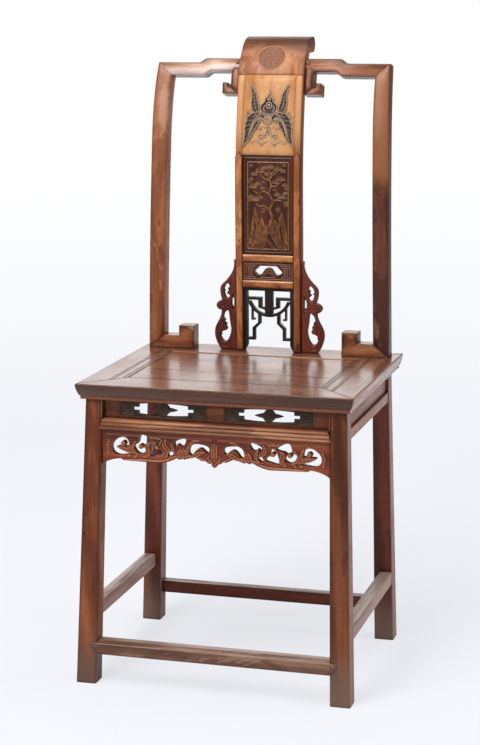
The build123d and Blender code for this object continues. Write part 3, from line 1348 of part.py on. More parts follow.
def crest_arrises(piece):
    """Long edges of a crest rail, without those of its mitres."""
    return piece.edges().filter_by(
        lambda e: e.bounding_box().size.X > 4 and e.bounding_box().size.Z < CREST_STEP + 1
    )


def back_frame():
    """Posts, foot brackets, crest rails and hooks around the splat."""
    tenon = crest_tenon()
    posts = {side: back_post(shoulder) for side, shoulder in POST_SHOULDER.items()}
    foot = post_foot() - grown(post_tenon(), "z") - posts["left"] - posts["right"]
    rail = crest_rail()
    rail = fillet(crest_arrises(rail), POST_ROUND) + block(*tenon)
    nodes["back_post_right"] = one_solid(posts["right"] + block(*post_tenon()))
    nodes["back_post_left"] = mirrored(one_solid(posts["left"] + block(*post_tenon())))
    right = {
        "post_foot": one_solid(foot),
        "crest_rail": one_solid(rail),
        "crest_hook": one_solid(crest_hook() - grown(tenon, "x")),
        "crest_hook_tip": crest_hook_tip(),
    }
    for name, piece in right.items():
        nodes[name + "_right"] = piece
        nodes[name + "_left"] = mirrored(piece)


def splat():
    """Splat pieces and the wings beside them."""
    scroll = scroll_block() - both_sides(grown(crest_tenon(), "x"))
    socket = (STILE_TENON_X[0] - JOINT_GAP, STILE_TENON_X[1] + JOINT_GAP)
    scroll = scroll - both_sides(seam_tenon(*socket))
    nodes["splat_scroll_block"] = one_solid(scroll)
    nodes["splat_stile_right"] = one_solid(splat_stile())
    nodes["splat_stile_left"] = mirrored(nodes["splat_stile_right"])
    nodes["splat_butterfly_board"] = butterfly_board()
    nodes["splat_rail_middle"] = splat_rail(*MIDDLE_RAIL)
    nodes["splat_rail_lower"] = splat_rail(*LOWER_RAIL)
    nodes["splat_landscape_panel"] = one_solid(landscape_panel())
    nodes["splat_fret_panel"] = one_solid(fret_panel())
    nodes["splat_lattice"] = lattice()
    nodes["wing_right"] = wing()
    nodes["wing_left"] = mirrored(nodes["wing_right"])


seat_frame()
under_frame()
legs()
back_frame()
splat()

boxes = [piece.bounding_box() for piece in nodes.values()]
middle_y = (min(b.min.Y for b in boxes) + max(b.max.Y for b in boxes)) / 2
os.makedirs("parts", exist_ok=True)
for name, piece in nodes.items():
    moved = Pos(0, -middle_y, 0) * piece
    export_step(moved, f"parts/{name}.step")
print(f"{len(nodes)} pieces, moved {-middle_y:.4f} mm along Y")
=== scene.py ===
import json
import math

import bmesh
import bpy
import numpy as np
from mathutils import Matrix, Vector

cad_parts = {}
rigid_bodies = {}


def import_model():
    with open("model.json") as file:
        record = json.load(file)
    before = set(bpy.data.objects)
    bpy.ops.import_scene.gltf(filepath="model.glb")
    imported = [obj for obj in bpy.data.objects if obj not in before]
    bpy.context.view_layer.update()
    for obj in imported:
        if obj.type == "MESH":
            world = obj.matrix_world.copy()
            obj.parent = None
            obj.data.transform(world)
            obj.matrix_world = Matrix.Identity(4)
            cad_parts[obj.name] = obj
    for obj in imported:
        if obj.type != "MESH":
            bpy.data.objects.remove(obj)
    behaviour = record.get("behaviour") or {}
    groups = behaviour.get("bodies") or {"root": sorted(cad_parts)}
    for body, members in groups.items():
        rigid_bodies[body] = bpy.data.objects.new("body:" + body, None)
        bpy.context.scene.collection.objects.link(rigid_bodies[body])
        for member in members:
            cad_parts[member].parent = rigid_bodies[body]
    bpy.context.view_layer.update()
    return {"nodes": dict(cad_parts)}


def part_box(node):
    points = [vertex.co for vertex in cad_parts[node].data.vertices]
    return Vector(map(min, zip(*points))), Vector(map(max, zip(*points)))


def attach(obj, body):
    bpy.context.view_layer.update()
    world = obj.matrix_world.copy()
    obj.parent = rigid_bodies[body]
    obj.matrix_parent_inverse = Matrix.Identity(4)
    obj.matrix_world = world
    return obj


for leftover in list(bpy.data.objects):
    bpy.data.objects.remove(leftover)

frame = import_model()
NODES = frame["nodes"]

# ---------------------------------------------------------------- sizes, in mm from the seat's middle
MM = 0.001                              # metres in a millimetre
SHIFT_Y = -21.0911 * MM                 # from the seat's middle to the frame's, in metres
SIDES = {1: "right", -1: "left"}

SEAT_TOP = 520
SEAT_UNDERSIDE = 493
SEAT_X, SEAT_Y = 239, 207.5             # half of the seat's width and depth
FIELD_X, FIELD_FRONT, FIELD_REAR = 169, -132.5, 113.5  # edges of the seat's panel
BOARD_JOINT = -48.9                     # where the panel's two boards meet
RAIL_LINES = (3.5, 8, 20.5, 25)         # mouldings of the side rails, out from the panel
LEG_FACE = -192                         # front legs' face at the seat's underside
LEG_SPLAY = 29 / SEAT_UNDERSIDE         # that face comes forwards by 29 on its way to the floor
LEG_BEADS = ((197, 3, 2), (201.2, 3, 2), (203.6, 1, 0.4))  # place, width, height
FRIEZE_Y, APRON_Y = -183.97, -190.97    # faces of the frieze and the apron

SPLAT_FACE = 153                        # foremost line of the splat's bent face
SPLAT_RISE = 830                        # level of that line
SPLAT_RADIUS = 814                      # radius of the bend above it
SPLAT_LEAN = math.radians(1)            # lean of the straight part below it
SEAM = math.radians(13.35)              # lean where the scroll block starts
NECK = math.radians(41)                 # lean where its hollow neck ends
NECK_RADIUS = 78
NECK_RUN = 15                           # straight run between the neck and the crown
CROWN_RADIUS = 62.7
LANDSCAPE_DEPTH, FRET_DEPTH, WING_DEPTH = 3, 2, 5  # panels' faces behind the splat's
STILE_IN, STILE_OUT = 46.9, 60.4
STILE_FOOT, STILE_SHOULDER, STILE_POINT = 520.6, 872, 884
CROSS_RAILS = (("lower", 636.7, 650.3), ("middle", 683.7, 697.3))

INSERT_X, INSERT_Z, INSERT_HALF = 91.3, 477.6, 74.6  # pierced inserts of the frieze
CORNER_INSET = 2.5                      # the seat's mitre lines stop this far inside its corners
LINE_DEPTH = 0.45                       # the strips of dirt and painted shade lie this deep in the side rails' mouldings
WELD = 0.01
ARRIS, STOUT_ARRIS = 0.6, 1.5           # width of the eased arrises
ARRIS_ANGLE = math.radians(40)


# ---------------------------------------------------------------- shader graph
BUMP, BUMP_DEPTH = 0.28, 0.0006         # strength of the fine relief, and its depth in metres


def tone(red, green, blue):
    """Colour written as it shows on screen, 0 to 255, as linear values."""
    linear = []
    for value in (red, green, blue):
        value /= 255
        linear.append(value / 12.92 if value <= 0.04045 else ((value + 0.055) / 1.055) ** 2.4)
    return (*linear, 1)


class Graph:
    """Small writer for a material's nodes; a plain colour is written as for tone()."""

    def __init__(self, name):
        self.material = bpy.data.materials.new(name)
        self.material.use_nodes = True
        self.tree = self.material.node_tree
        self.tree.nodes.clear()
        self.position = self.add("ShaderNodeTexCoord").outputs["Object"]
        self.colour = None

    def add(self, kind, inputs=None, **settings):
        node = self.tree.nodes.new(kind)
        for key, value in settings.items():
            setattr(node, key, value)
        for key, value in (inputs or {}).items():
            self.put(node.inputs[key], value)
        return node

    def put(self, socket, value):
        if isinstance(value, bpy.types.NodeSocket):
            self.tree.links.new(value, socket)
        else:
            socket.default_value = tone(*value) if socket.type == "RGBA" else value

    def stretched(self, scale, offset=(0, 0, 0), turn=(0, 0, 0)):
        """The object's own coordinates, turned, scaled and moved."""
        inputs = {"Vector": self.position, "Scale": scale, "Location": offset, "Rotation": turn}
        return self.add("ShaderNodeMapping", inputs).outputs["Vector"]

    def parts(self, vector):
        """The vector's X, Y and Z."""
        return self.add("ShaderNodeSeparateXYZ", {"Vector": vector}).outputs

    def attribute(self, name):
        return self.add("ShaderNodeAttribute", attribute_name=name).outputs["Fac"]

    def noise(self, vector, scale, detail, roughness=0.5, distortion=0):
        inputs = {
            "Vector": vector, "Scale": scale, "Detail": detail,
            "Roughness": roughness, "Distortion": distortion,
        }
        return self.add("ShaderNodeTexNoise", inputs).outputs["Fac"]

    def patches(self, vector, scale, detail, roughness, *limits, distortion=0):
        """Noise between two limits, so that it comes and goes in patches."""
        return self.remap(self.noise(vector, scale, detail, roughness, distortion), *limits)

    def math(self, operation, a, b=0):
        return self.add("ShaderNodeMath", {0: a, 1: b}, operation=operation).outputs[0]

    def plus(self, a, b):
        return self.math("ADD", a, b)

    def less(self, a, b):
        return self.math("SUBTRACT", a, b)

    def times(self, a, b):
        return self.math("MULTIPLY", a, b)

    def remap(self, value, low, high, to_low=0, to_high=1):
        inputs = {
            "Value": value, "From Min": low, "From Max": high, "To Min": to_low, "To Max": to_high,
        }
        node = self.add("ShaderNodeMapRange", inputs, interpolation_type="SMOOTHSTEP")
        return node.outputs["Result"]

    def mix(self, factor, a, b):
        node = self.add("ShaderNodeMix", {0: factor}, data_type="RGBA")
        self.put(node.inputs[6], a)
        self.put(node.inputs[7], b)
        return node.outputs[2]

    def lay(self, shade, mask, share=1):
        """Lays a colour over what is there, where the mask is and up to a share."""
        self.colour = self.mix(self.times(mask, share), self.colour, shade)

    def ramp(self, factor, *stops):
        node = self.add("ShaderNodeValToRGB", {"Fac": factor})
        marks = node.color_ramp.elements
        while len(marks) < len(stops):
            marks.new(0.5)
        for mark, (place, shade) in zip(marks, stops):
            mark.position = place
            mark.color = tone(*shade)
        return node.outputs["Color"]

    def rounded(self, radius):
        """Normal of the surface as if its arrises were worn round."""
        return self.add("ShaderNodeBevel", {"Radius": radius}, samples=4).outputs["Normal"]

    def edges(self, rounded, low, high):
        """Mask of the arrises: where a rounded normal leaves the true one."""
        true = self.add("ShaderNodeNewGeometry").outputs["True Normal"]
        product = self.add("ShaderNodeVectorMath", {0: rounded, 1: true}, operation="DOT_PRODUCT")
        return self.remap(self.less(1, product.outputs["Value"]), low, high)

    def near(self, place, reach, slender):
        """Mask of a ragged spot about a place in metres; a slender one runs up and down."""
        squash = (1, 1, slender)
        ends = {0: self.stretched(squash), 1: tuple(c * k for c, k in zip(place, squash))}
        apart = self.add("ShaderNodeVectorMath", ends, operation="DISTANCE").outputs["Value"]
        ragged = self.times(self.noise(self.position, 90, 4, 0.65), reach * 1.2)
        return self.remap(self.plus(apart, ragged), reach * 1.55, reach * 1.15)

    def crevices(self, distance):
        """Openness of the corners where pieces meet, 1 in the open and 0 in a corner."""
        node = self.add("ShaderNodeAmbientOcclusion", {"Distance": distance}, samples=4)
        return node.outputs["AO"]

    def finish(self, roughness, height, base, **shader):
        """Closes the graph with a shader that carries the laid colours and a fine relief."""
        carried = {"Height": height, "Strength": BUMP, "Distance": BUMP_DEPTH}
        if base:
            carried["Normal"] = base
        normal = self.add("ShaderNodeBump", carried).outputs["Normal"]
        inputs = {"Base Color": self.colour, "Roughness": roughness, "Normal": normal, **shader}
        surface = self.add("ShaderNodeBsdfPrincipled", inputs).outputs["BSDF"]
        self.add("ShaderNodeOutputMaterial", {"Surface": surface})
        return self.material


# ---------------------------------------------------------------- woods
GRAIN, PATCH = 0.07, 0.35               # how far grain and blots are drawn out along the wood
RINGS = 0.28                            # usual strength of the rings
CREST_FOOT, CREST_DEPTH = 1.012, 0.032  # crest rails' underside and height, in metres
CREST_STEP = (0.105, 0.13, 0.0078)      # where their step starts and ends, and its rise
CREVICE = 0.012                         # reach of the dirt and painted shade in corners
CHAFE = 0.0018                          # radius of the worn arrises
FOOT_FADE = (0.004, 0.12)               # levels between which the grey of a floor end fades
RAGGED = 0.05                           # how far a level's border wanders up and down
# Colours of knots and flecks, of the painted shade along arrises, and of the dirt and painted shade in
# corners.
KNOT, FLECK, RIM, GRIME = (38, 24, 20), (52, 30, 22), (32, 15, 11), (34, 20, 16)


def stretch(along, share):
    return tuple(share if axis == along else 1 for axis in "xyz")


def wood(
    name, tones, along, seed, figure=1, ringed=RINGS, knots=0, stain=None, stain_cover=0.3,
    bare=None, worn=None, wear=0.5, grime=0.6, edging=0.7, softness=0.006, rough=(0.3, 0.55),
    coat=0.25, coat_rough=0.22, shine=0.3, paint=None, cut=None, marks=(), fade=None, rung=None,
    rim=None, flank=None, lip=None, foot=None, dust=None, turned=None,
):
    """Old waxed wood, with what age has laid over its grain and with painted light and shade.

    tones: dark, middle and light; along: the grain's axis; figure, ringed: scale and strength of rings
    knots: strength of dark knots; stain, stain_cover: blots; bare: (colour, cover, share) of islands of
    worn bare wood, the pale ones also painted glints of the light
    worn, wear: chafed arrises and nicks; grime: dirt and painted shade in corners; edging: painted shade
    along the arrises
    softness: radius of the shaded arrises, in metres; paint: (dark, light, share, level) on a tint
    cut: (colour in cuts, colour on crests, share), painted shade in the cuts and painted highlights on
    the crests; marks: (place, reach, slenderness, colour, share)
    fade: (colour, start, end, share) up the height; rung: (lower, middle, upper, share) of a crest rail:
    painted shade on its underside and a painted highlight low on its front, darker above
    rim, flank: (colour, share) of upright faces, painted shade, and of those turned to +X, a painted
    sheen where pale and painted shade where dark; lip: (colour, top, share)
    foot: grey of the floor ends; dust: (colour, share, level) on faces turned up, dust with a painted
    sheen of the light
    turned: (dark, light, share) of a half-round face: painted shade on its sides and underside, a
    painted highlight on its top; rough: least and greatest roughness
    coat, coat_rough, shine: strength and roughness of the wax, and gloss of the wood below it
    """
    g = Graph(name)
    offset = (seed * 1.7, seed * 0.9, seed * 2.3)
    fibre = g.stretched(stretch(along, GRAIN), offset)
    patch = stretch(along, PATCH)
    worn = worn or tones[2]

    broad = g.noise(fibre, 26, 3, 0.55, 0.6)
    streak = g.noise(fibre, 150, 5, 0.6, 0.3)
    pores = g.noise(fibre, 900, 2, 0.6)
    cloud = g.noise(g.position, 7 + seed % 3, 3, 0.55, 0.4)
    rings = g.add("ShaderNodeTexWave", {
        "Vector": fibre, "Scale": 14 * figure, "Distortion": 7, "Detail": 3,
        "Detail Scale": 1.6, "Detail Roughness": 0.6,
    }, bands_direction="DIAGONAL").outputs["Fac"]
    grain = g.plus(g.times(rings, ringed), 0.5 * (RINGS - ringed))
    grain = g.plus(grain, g.times(broad, 0.56))
    grain = g.plus(grain, g.times(streak, 0.38))
    g.colour = g.ramp(grain, *zip((0.36, 0.58, 0.82), tones))

    if stain:
        low = 0.62 - stain_cover * 0.45
        blots = g.patches(g.stretched(patch, offset), 15, 5, 0.62, low, low + 0.08, distortion=0.9)
        g.lay(stain, blots, 0.75)
    # Islands of worn bare wood; where pale, they are also painted glints of the light on the gloss.
    if bare:
        shade, cover, share = bare
        low = 0.64 - cover * 0.4
        ground = g.stretched(patch, offset, (0.4, 0.9, 0.2))
        g.lay(shade, g.patches(ground, 21, 5, 0.66, low, low + 0.04, distortion=1.2), share)
    g.lay(tones[0], g.patches(fibre, 430, 3, 0.6, 0.52, 0.68, distortion=0.2), 0.42)
    g.lay(tones[0], g.remap(pores, 0.60, 0.72), 0.35)
    if knots:
        cells = g.add("ShaderNodeTexVoronoi", {
            "Vector": g.stretched((1, 1, 1), offset), "Scale": 11, "Randomness": 1,
        }).outputs["Distance"]
        broken = g.patches(g.position, 40, 3, 0.5, 0.35, 0.6)
        g.lay(KNOT, g.times(g.remap(cells, 0.03 + 0.05 * knots, 0), broken), 0.85)
    nicks = g.patches(g.stretched(patch, offset, (0.7, 0.1, 0.5)), 260, 2, 0.6, 0.74, 0.77)
    g.lay(worn, nicks, 0.6)
    flecks = g.patches(g.stretched((1, 1, 1), offset), 210, 3, 0.7, 0.69, 0.74)
    g.lay(FLECK, flecks, 0.5 + knots * 0.3)

    if paint:
        dark, light, share, level = paint
        kept = g.patches(g.position, 190, 4, 0.65, level, level + 0.1, 0.15, 1)
        painted = g.mix(g.remap(streak, 0.35, 0.65), dark, light)
        g.lay(painted, g.times(g.attribute("tint"), kept), share)
    # Painted shade in the carving's cuts and painted highlights on its crests.
    if cut:
        deep, crest, share = cut
        cavity = g.attribute("cavity")
        g.lay(deep, g.remap(cavity, 0.5, 0.22), 0.85)
        g.lay(crest, g.remap(cavity, 0.56, 0.85), share)
    soft = g.rounded(softness) if softness else None
    # Painted shade in broken bands along the arrises.
    if soft and edging:
        broken = g.patches(fibre, 34, 4, 0.6, 0.28, 0.58)
        g.lay(RIM, g.times(g.edges(soft, 0.0004, 0.035), broken), edging)
    # Dirt and painted shade in the corners where pieces meet, from ambient occlusion.
    g.lay(GRIME, g.less(1, g.crevices(CREVICE)), grime)
    broken = g.patches(g.position, 60, 4, 0.6, 0.36, 0.6)
    chafe = g.times(g.edges(g.rounded(CHAFE), 0.02, 0.22), broken)
    g.lay(worn, chafe, wear)
    for place, reach, slender, shade, share in marks:
        g.lay(shade, g.near(place, reach, slender), share)

    place = g.parts(g.position)
    ragged = g.times(g.less(cloud, 0.5), RAGGED)
    level = g.plus(place["Z"], ragged)
    if fade:
        shade, start, end, share = fade
        g.lay(shade, g.remap(level, start, end), share)
    # Bands up a crest rail: painted shade on its underside, then a painted highlight low on its front
    # that darkens upwards.
    if rung:
        lower, middle, upper, share = rung
        start, end, rise = CREST_STEP
        step = g.remap(g.math("ABSOLUTE", place["X"]), start, end, rise, 0)
        rise = g.less(g.plus(place["Z"], g.times(ragged, 0.2)), step)
        rise = g.math("DIVIDE", g.less(rise, CREST_FOOT), CREST_DEPTH)
        bands = ((0.08, (54, 44, 38)), (0.17, lower), (0.45, lower), (0.64, middle), (0.86, upper))
        g.lay(g.ramp(rise, *bands), g.remap(streak, 0.3, 0.62, share * 0.6, share))
    facing = g.parts(g.add("ShaderNodeNewGeometry").outputs["Normal"])
    upward = facing["Z"]
    broken = g.patches(fibre, 40, 4, 0.65, 0.3, 0.55, 0.45, 1)
    # Painted shade on upright faces, against those that face up.
    if rim:
        g.lay(rim[0], g.times(g.less(1, g.remap(upward, 0.2, 0.8)), broken), rim[1])
    # Faces turned to +X: a painted sheen where the colour is pale, painted shade where it is dark.
    if flank:
        g.lay(flank[0], g.times(g.remap(facing["X"], 0.4, 0.9), broken), flank[1])
    if lip:
        shade, top, share = lip
        g.lay(shade, g.math("LESS_THAN", place["Z"], top), share)
    if foot:
        g.lay(foot, g.less(1, g.remap(level, *FOOT_FADE)), 0.75)
    # Pale colour on faces turned up: dust, with a painted sheen of the light over it.
    if dust:
        shade, share, low = dust
        settled = g.patches(fibre, 60, 4, 0.6, 0.3, 0.6)
        g.lay(shade, g.remap(upward, low, low + 0.3), g.times(settled, share))
    # Half-round faces: painted shade on their sides and underside, and a painted highlight along their
    # top.
    if turned:
        dark, light, share = turned
        side = g.remap(g.math("ABSOLUTE", facing["X"]), 0.22, 0.5)
        under = g.remap(g.times(upward, -1), 0.16, 0.42)
        g.lay(dark, g.math("MAXIMUM", side, under), g.remap(broad, 0.3, 0.6, 0.55, 1))
        g.lay(light, g.times(g.remap(upward, 0.24, 0.44), g.remap(streak, 0.34, 0.6)), share)

    roughness = g.remap(g.plus(g.times(cloud, 0.6), g.times(streak, 0.4)), 0.35, 0.65, *rough)
    roughness = g.plus(roughness, g.times(chafe, 0.12))
    height = g.plus(g.times(streak, 0.5), g.times(pores, -0.35))
    height = g.plus(height, g.times(broad, 0.6))
    return g.finish(roughness, height, soft, **{
        "Coat Weight": coat, "Coat Roughness": coat_rough, "Specular IOR Level": shine,
        "Specular Tint": (255, 222, 196),
    })


LEG = ((80, 39, 23), (122, 63, 35), (154, 90, 55))
RIGHT_LEG = ((66, 33, 20), (106, 54, 31), (138, 78, 48))
REAR_LEG = ((66, 26, 20), (102, 44, 34), (132, 66, 50))
RAIL = ((66, 32, 22), (104, 56, 36), (138, 80, 50))
FRONT_STRETCHER = ((84, 54, 44), (122, 86, 72), (154, 116, 98))
BEAD = ((120, 68, 46), (172, 110, 76), (206, 148, 108))
POST = ((102, 48, 28), (142, 80, 48), (170, 106, 70))
DARK_POST = ((60, 30, 24), (88, 47, 36), (118, 68, 48))
# Crest tones: the left rail's as it shows under a painted highlight, the other rails' without it.
PALE_CREST = ((150, 96, 74), (192, 138, 112), (226, 178, 154))
BROWN_CREST = ((106, 53, 31), (146, 84, 53), (174, 110, 76))
SEAT = ((88, 50, 36), (122, 76, 55), (146, 98, 72))
SPLAT = ((158, 96, 52), (206, 144, 92), (228, 176, 124))
SCROLL = ((140, 80, 50), (180, 116, 78), (198, 136, 98))
STILE = ((122, 58, 26), (176, 104, 52), (206, 138, 78))
MOULDING = ((132, 66, 32), (188, 114, 60), (216, 150, 90))
CARVED = ((70, 24, 17), (114, 44, 30), (148, 70, 42))
WING = ((58, 20, 20), (92, 34, 31), (124, 56, 46))
MAZE = ((48, 20, 18), (74, 32, 27), (98, 46, 36))
GILT_GROUND = ((48, 17, 15), (68, 27, 22), (88, 39, 29))
LACQUER = ((56, 18, 16), (78, 28, 24), (98, 42, 34))
INSERT = ((18, 12, 11), (31, 22, 19), (50, 35, 29))
FRET = ((20, 13, 12), (34, 23, 19), (54, 36, 29))
BLACK = ((18, 20, 20), (31, 34, 33), (52, 54, 51))
# Dark of the seat's joints and of its mouldings' grooves: dirt with painted shade.
DIRT = ((26, 16, 13), (40, 26, 21), (58, 38, 30))
# Pale wood of the worn ledge behind the seat's panel and of the painted highlights along the front
# arrises.
LEDGE = ((140, 92, 70), (182, 132, 106), (212, 170, 146))
WORN = (186, 130, 96)
WORN_POST = (205, 150, 118)
BURN = (30, 22, 22)
# Painted highlight on the back posts' rounded fronts.
GLOSS = (206, 160, 138)
RIGHT_POST_MARKS = (
    ((0.195, 0.138, 0.832), 0.012, 0.5, BURN, 0.9),
    ((0.2071, 0.1379, 0.8233), 0.004, 0.8, BURN, 1),
    ((0.204, 0.138, 0.812), 0.005, 0.7, (70, 34, 26), 0.8),
    ((0.212, 0.143, 0.888), 0.004, 0.4, BURN, 0.6),
    ((0.196, 0.152, 0.935), 0.011, 0.14, GLOSS, 0.75),
    ((0.2135, 0.157, 0.962), 0.003, 0.4, BURN, 0.7),
)
LEFT_POST_MARKS = (
    ((-0.199, 0.152, 0.955), 0.014, 0.2, GLOSS, 0.7),
    ((-0.203, 0.14, 0.84), 0.009, 0.25, (96, 50, 32), 0.6),
    ((-0.201, 0.131, 0.69), 0.008, 0.3, (92, 46, 30), 0.6),
    ((-0.205, 0.133, 0.75), 0.004, 0.5, BURN, 0.5),
)
STILE_MARKS = (
    ((-0.0575, 0.142, 0.962), 0.005, 0.35, (60, 30, 20), 0.8),
    ((-0.058, 0.137, 0.90), 0.003, 0.5, BURN, 0.7),
    ((-0.056, 0.1335, 0.742), 0.003, 0.4, BURN, 0.7),
    ((-0.053, 0.1335, 0.722), 0.0035, 0.7, BURN, 0.6),
    ((0.058, 0.1335, 0.80), 0.004, 0.2, (70, 34, 20), 0.7),
    ((0.053, 0.1345, 0.66), 0.003, 0.4, BURN, 0.6),
    ((-0.054, 0.136, 0.585), 0.005, 0.3, (196, 132, 96), 0.6),
    ((0.055, 0.1355, 0.532), 0.006, 0.6, BURN, 0.7),
)
SKIN = {"wear": 0.1, "edging": 0, "softness": 0}  # carved fields and mouldings


def woods():
    """The materials by name; a name that ends in an axis has its grain along it."""
    made = {}

    def add(name, tones, along, seed, **finish):
        made[name] = wood(name, tones, along, seed, **finish)

    for axis in "yz":
        add("frame_wood_" + axis, LEG, axis, 3.1, knots=0.5, stain=(98, 44, 30), worn=WORN,
            foot=(110, 87, 77), coat=0.12)
    # A painted sheen on the rails' and stretchers' faces turned to +X.
    for axis in "xy":
        add("rail_wood_" + axis, RAIL, axis, 5.3, knots=0.3, stain=(92, 46, 34), worn=WORN, coat=0.12,
            flank=((164, 124, 112), 0.55))
        # Stretchers: dust with a painted sheen on their tops.
        add("stretcher_wood_" + axis, REAR_LEG, axis, 3.6, knots=0.5, stain=(98, 44, 30),
            worn=(196, 160, 136), dust=((200, 180, 168), 0.85, 0.6), coat=0.15,
            flank=((178, 146, 137), 0.7))
        # Seat: painted shade on the upright faces of the front and rear pieces, over a reddish lower
        # fillet; a painted sheen on the side pieces' faces turned to +X.
        edge = {"rim": ((66, 32, 18), 0.85), "lip": ((150, 82, 54), 0.4992, 0.6)}
        if axis == "y":
            edge = {"flank": ((168, 128, 116), 0.6)}
        add("seat_wood_" + axis, SEAT, axis, 11.2, knots=0.3, stain=(108, 70, 60), stain_cover=0.2,
            worn=(176, 140, 118), wear=0.6, rough=(0.2, 0.36), coat=0.45, coat_rough=0.16,
            ringed=0.1, softness=0.003, **edge)
    # Posts: islands of worn bare wood with painted glints.
    for axis in "xz":
        add("post_wood_" + axis, POST, axis, 7.7, knots=0.8, stain=(116, 58, 38), worn=WORN_POST,
            rough=(0.24, 0.45), coat=0.35, bare=((184, 128, 98), 0.2, 0.5))

    # The right and rear legs take a painted sheen on faces turned to +X.
    add("right_leg_wood", RIGHT_LEG, "z", 4.4, knots=0.9, stain=(74, 34, 24), stain_cover=0.25,
        worn=WORN, foot=(128, 104, 92), coat=0.12, flank=((136, 100, 92), 0.55))
    add("rear_leg_wood", REAR_LEG, "z", 3.3, knots=0.5, stain=(84, 40, 30), worn=WORN,
        foot=(134, 110, 98), coat=0.12, flank=((136, 104, 100), 0.6))
    # Front stretcher: dust with a painted sheen on its top, and islands of bare wood with painted
    # glints.
    add("front_stretcher_wood", FRONT_STRETCHER, "x", 3.6, knots=0.8, stain=(92, 54, 42),
        worn=(206, 174, 152), wear=1, dust=((196, 168, 154), 0.7, 0.6), coat=0.12,
        bare=((168, 136, 118), 0.2, 0.5))
    add("bead_wood", BEAD, "x", 5.9, stain=(120, 66, 46), worn=(206, 156, 120), edging=0, softness=0)

    # Back posts: painted glints among their marks, and pale islands with painted glints.
    add("post_left_wood", POST, "z", 7.7, knots=0.8, stain=(116, 58, 38), worn=WORN_POST,
        rough=(0.24, 0.45), coat=0.4, fade=((166, 106, 74), 0.62, 1.02, 0.5),
        bare=((184, 130, 100), 0.2, 0.5), edging=0.5, marks=LEFT_POST_MARKS)
    # The right post takes painted shade on faces turned to +X.
    add("post_right_wood", DARK_POST, "z", 8.3, knots=1, stain=(64, 34, 28), stain_cover=0.35,
        worn=(190, 140, 112), rough=(0.24, 0.45), coat=0.4, fade=((152, 94, 58), 0.79, 0.86, 0.9),
        bare=((180, 124, 96), 0.12, 0.4), edging=0.5, flank=((62, 42, 37), 0.9),
        marks=RIGHT_POST_MARKS)
    # The left crest rail's wood is a lit copy of the crest wood, painted paler; both carry bands of
    # painted light and shade.
    add("crest_pale_wood", PALE_CREST, "x", 7.9, knots=0.6, stain=(150, 92, 70),
        worn=(226, 190, 170), rough=(0.22, 0.4), coat=0.6, edging=0.4,
        rung=((236, 208, 200), (196, 146, 114), (108, 64, 45), 0.95))
    add("crest_brown_wood", BROWN_CREST, "x", 7.9, knots=0.8, stain=(112, 60, 42),
        stain_cover=0.35, worn=WORN_POST, rough=(0.24, 0.45), coat=0.35,
        bare=((196, 140, 110), 0.2, 0.5), rung=((166, 108, 80), (124, 73, 49), (80, 45, 31), 0.85))

    add("splat_wood", SPLAT, "z", 2.4, ringed=0.1, knots=0.4, stain=(184, 116, 70),
        worn=(226, 176, 130), edging=0, fade=((222, 164, 110), 0.97, 0.90, 0.5),
        bare=((216, 170, 132), 0.22, 0.5))
    add("scroll_wood", SCROLL, "z", 4.9, figure=0.5, knots=0.5, stain=(150, 84, 54),
        worn=(206, 154, 120), edging=0.4, bare=((200, 146, 112), 0.16, 0.35),
        fade=((70, 36, 24), 1.058, 1.082, 0.9))
    # The stiles take painted shade on faces turned to +X.
    add("stile_wood", STILE, "z", 6.6, knots=1, stain=(124, 62, 30), stain_cover=0.35,
        worn=(220, 160, 104), wear=0.8, fade=((214, 154, 102), 0.86, 0.93, 0.9), edging=0.3,
        marks=STILE_MARKS, flank=((98, 48, 32), 0.85))
    add("splat_rail_wood", STILE, "x", 8.1, knots=0.6, edging=0.2, softness=0.004,
        stain=(130, 66, 34), worn=(220, 160, 104), wear=0.8)
    # Half-round mouldings: painted shade on their sides and underside; the cross rails also get a
    # painted highlight along the top.
    add("moulding_wood", MOULDING, "z", 6.6, knots=1, stain=(136, 70, 36), marks=STILE_MARKS,
        bare=((112, 56, 30), 0.2, 0.5), ringed=0.12, fade=((206, 146, 96), 0.84, 0.93, 0.6),
        coat=0.45, turned=((70, 28, 17), (222, 160, 110), 0), **SKIN)
    add("cross_moulding_wood", MOULDING, "x", 8.1, knots=1, stain=(130, 66, 34), coat=0.45,
        ringed=0.12, bare=((104, 50, 26), 0.2, 0.5), turned=((74, 30, 18), (240, 190, 144), 0.85),
        **SKIN)

    add("carved_wood", CARVED, "x", 9.4, stain=(110, 42, 26), worn=(190, 116, 72), wear=0.7, grime=0.8)
    add("wing_wood", WING, "z", 1.4, stain=(96, 34, 26), worn=(176, 104, 66), wear=0.7, grime=0.8)
    # Lattice: pale dust with a painted sheen on its upturned faces.
    add("dark_wood", BLACK, "z", 12.6, worn=(158, 156, 148), wear=1, rough=(0.3, 0.5),
        dust=((176, 174, 166), 0.95, 0.35))
    add("fret_wood", FRET, "x", 13.9, worn=(150, 108, 82), wear=0.7)
    add("lacquer", LACQUER, "z", 15.2, worn=(126, 66, 48), rough=(0.25, 0.42), coat=0.5)

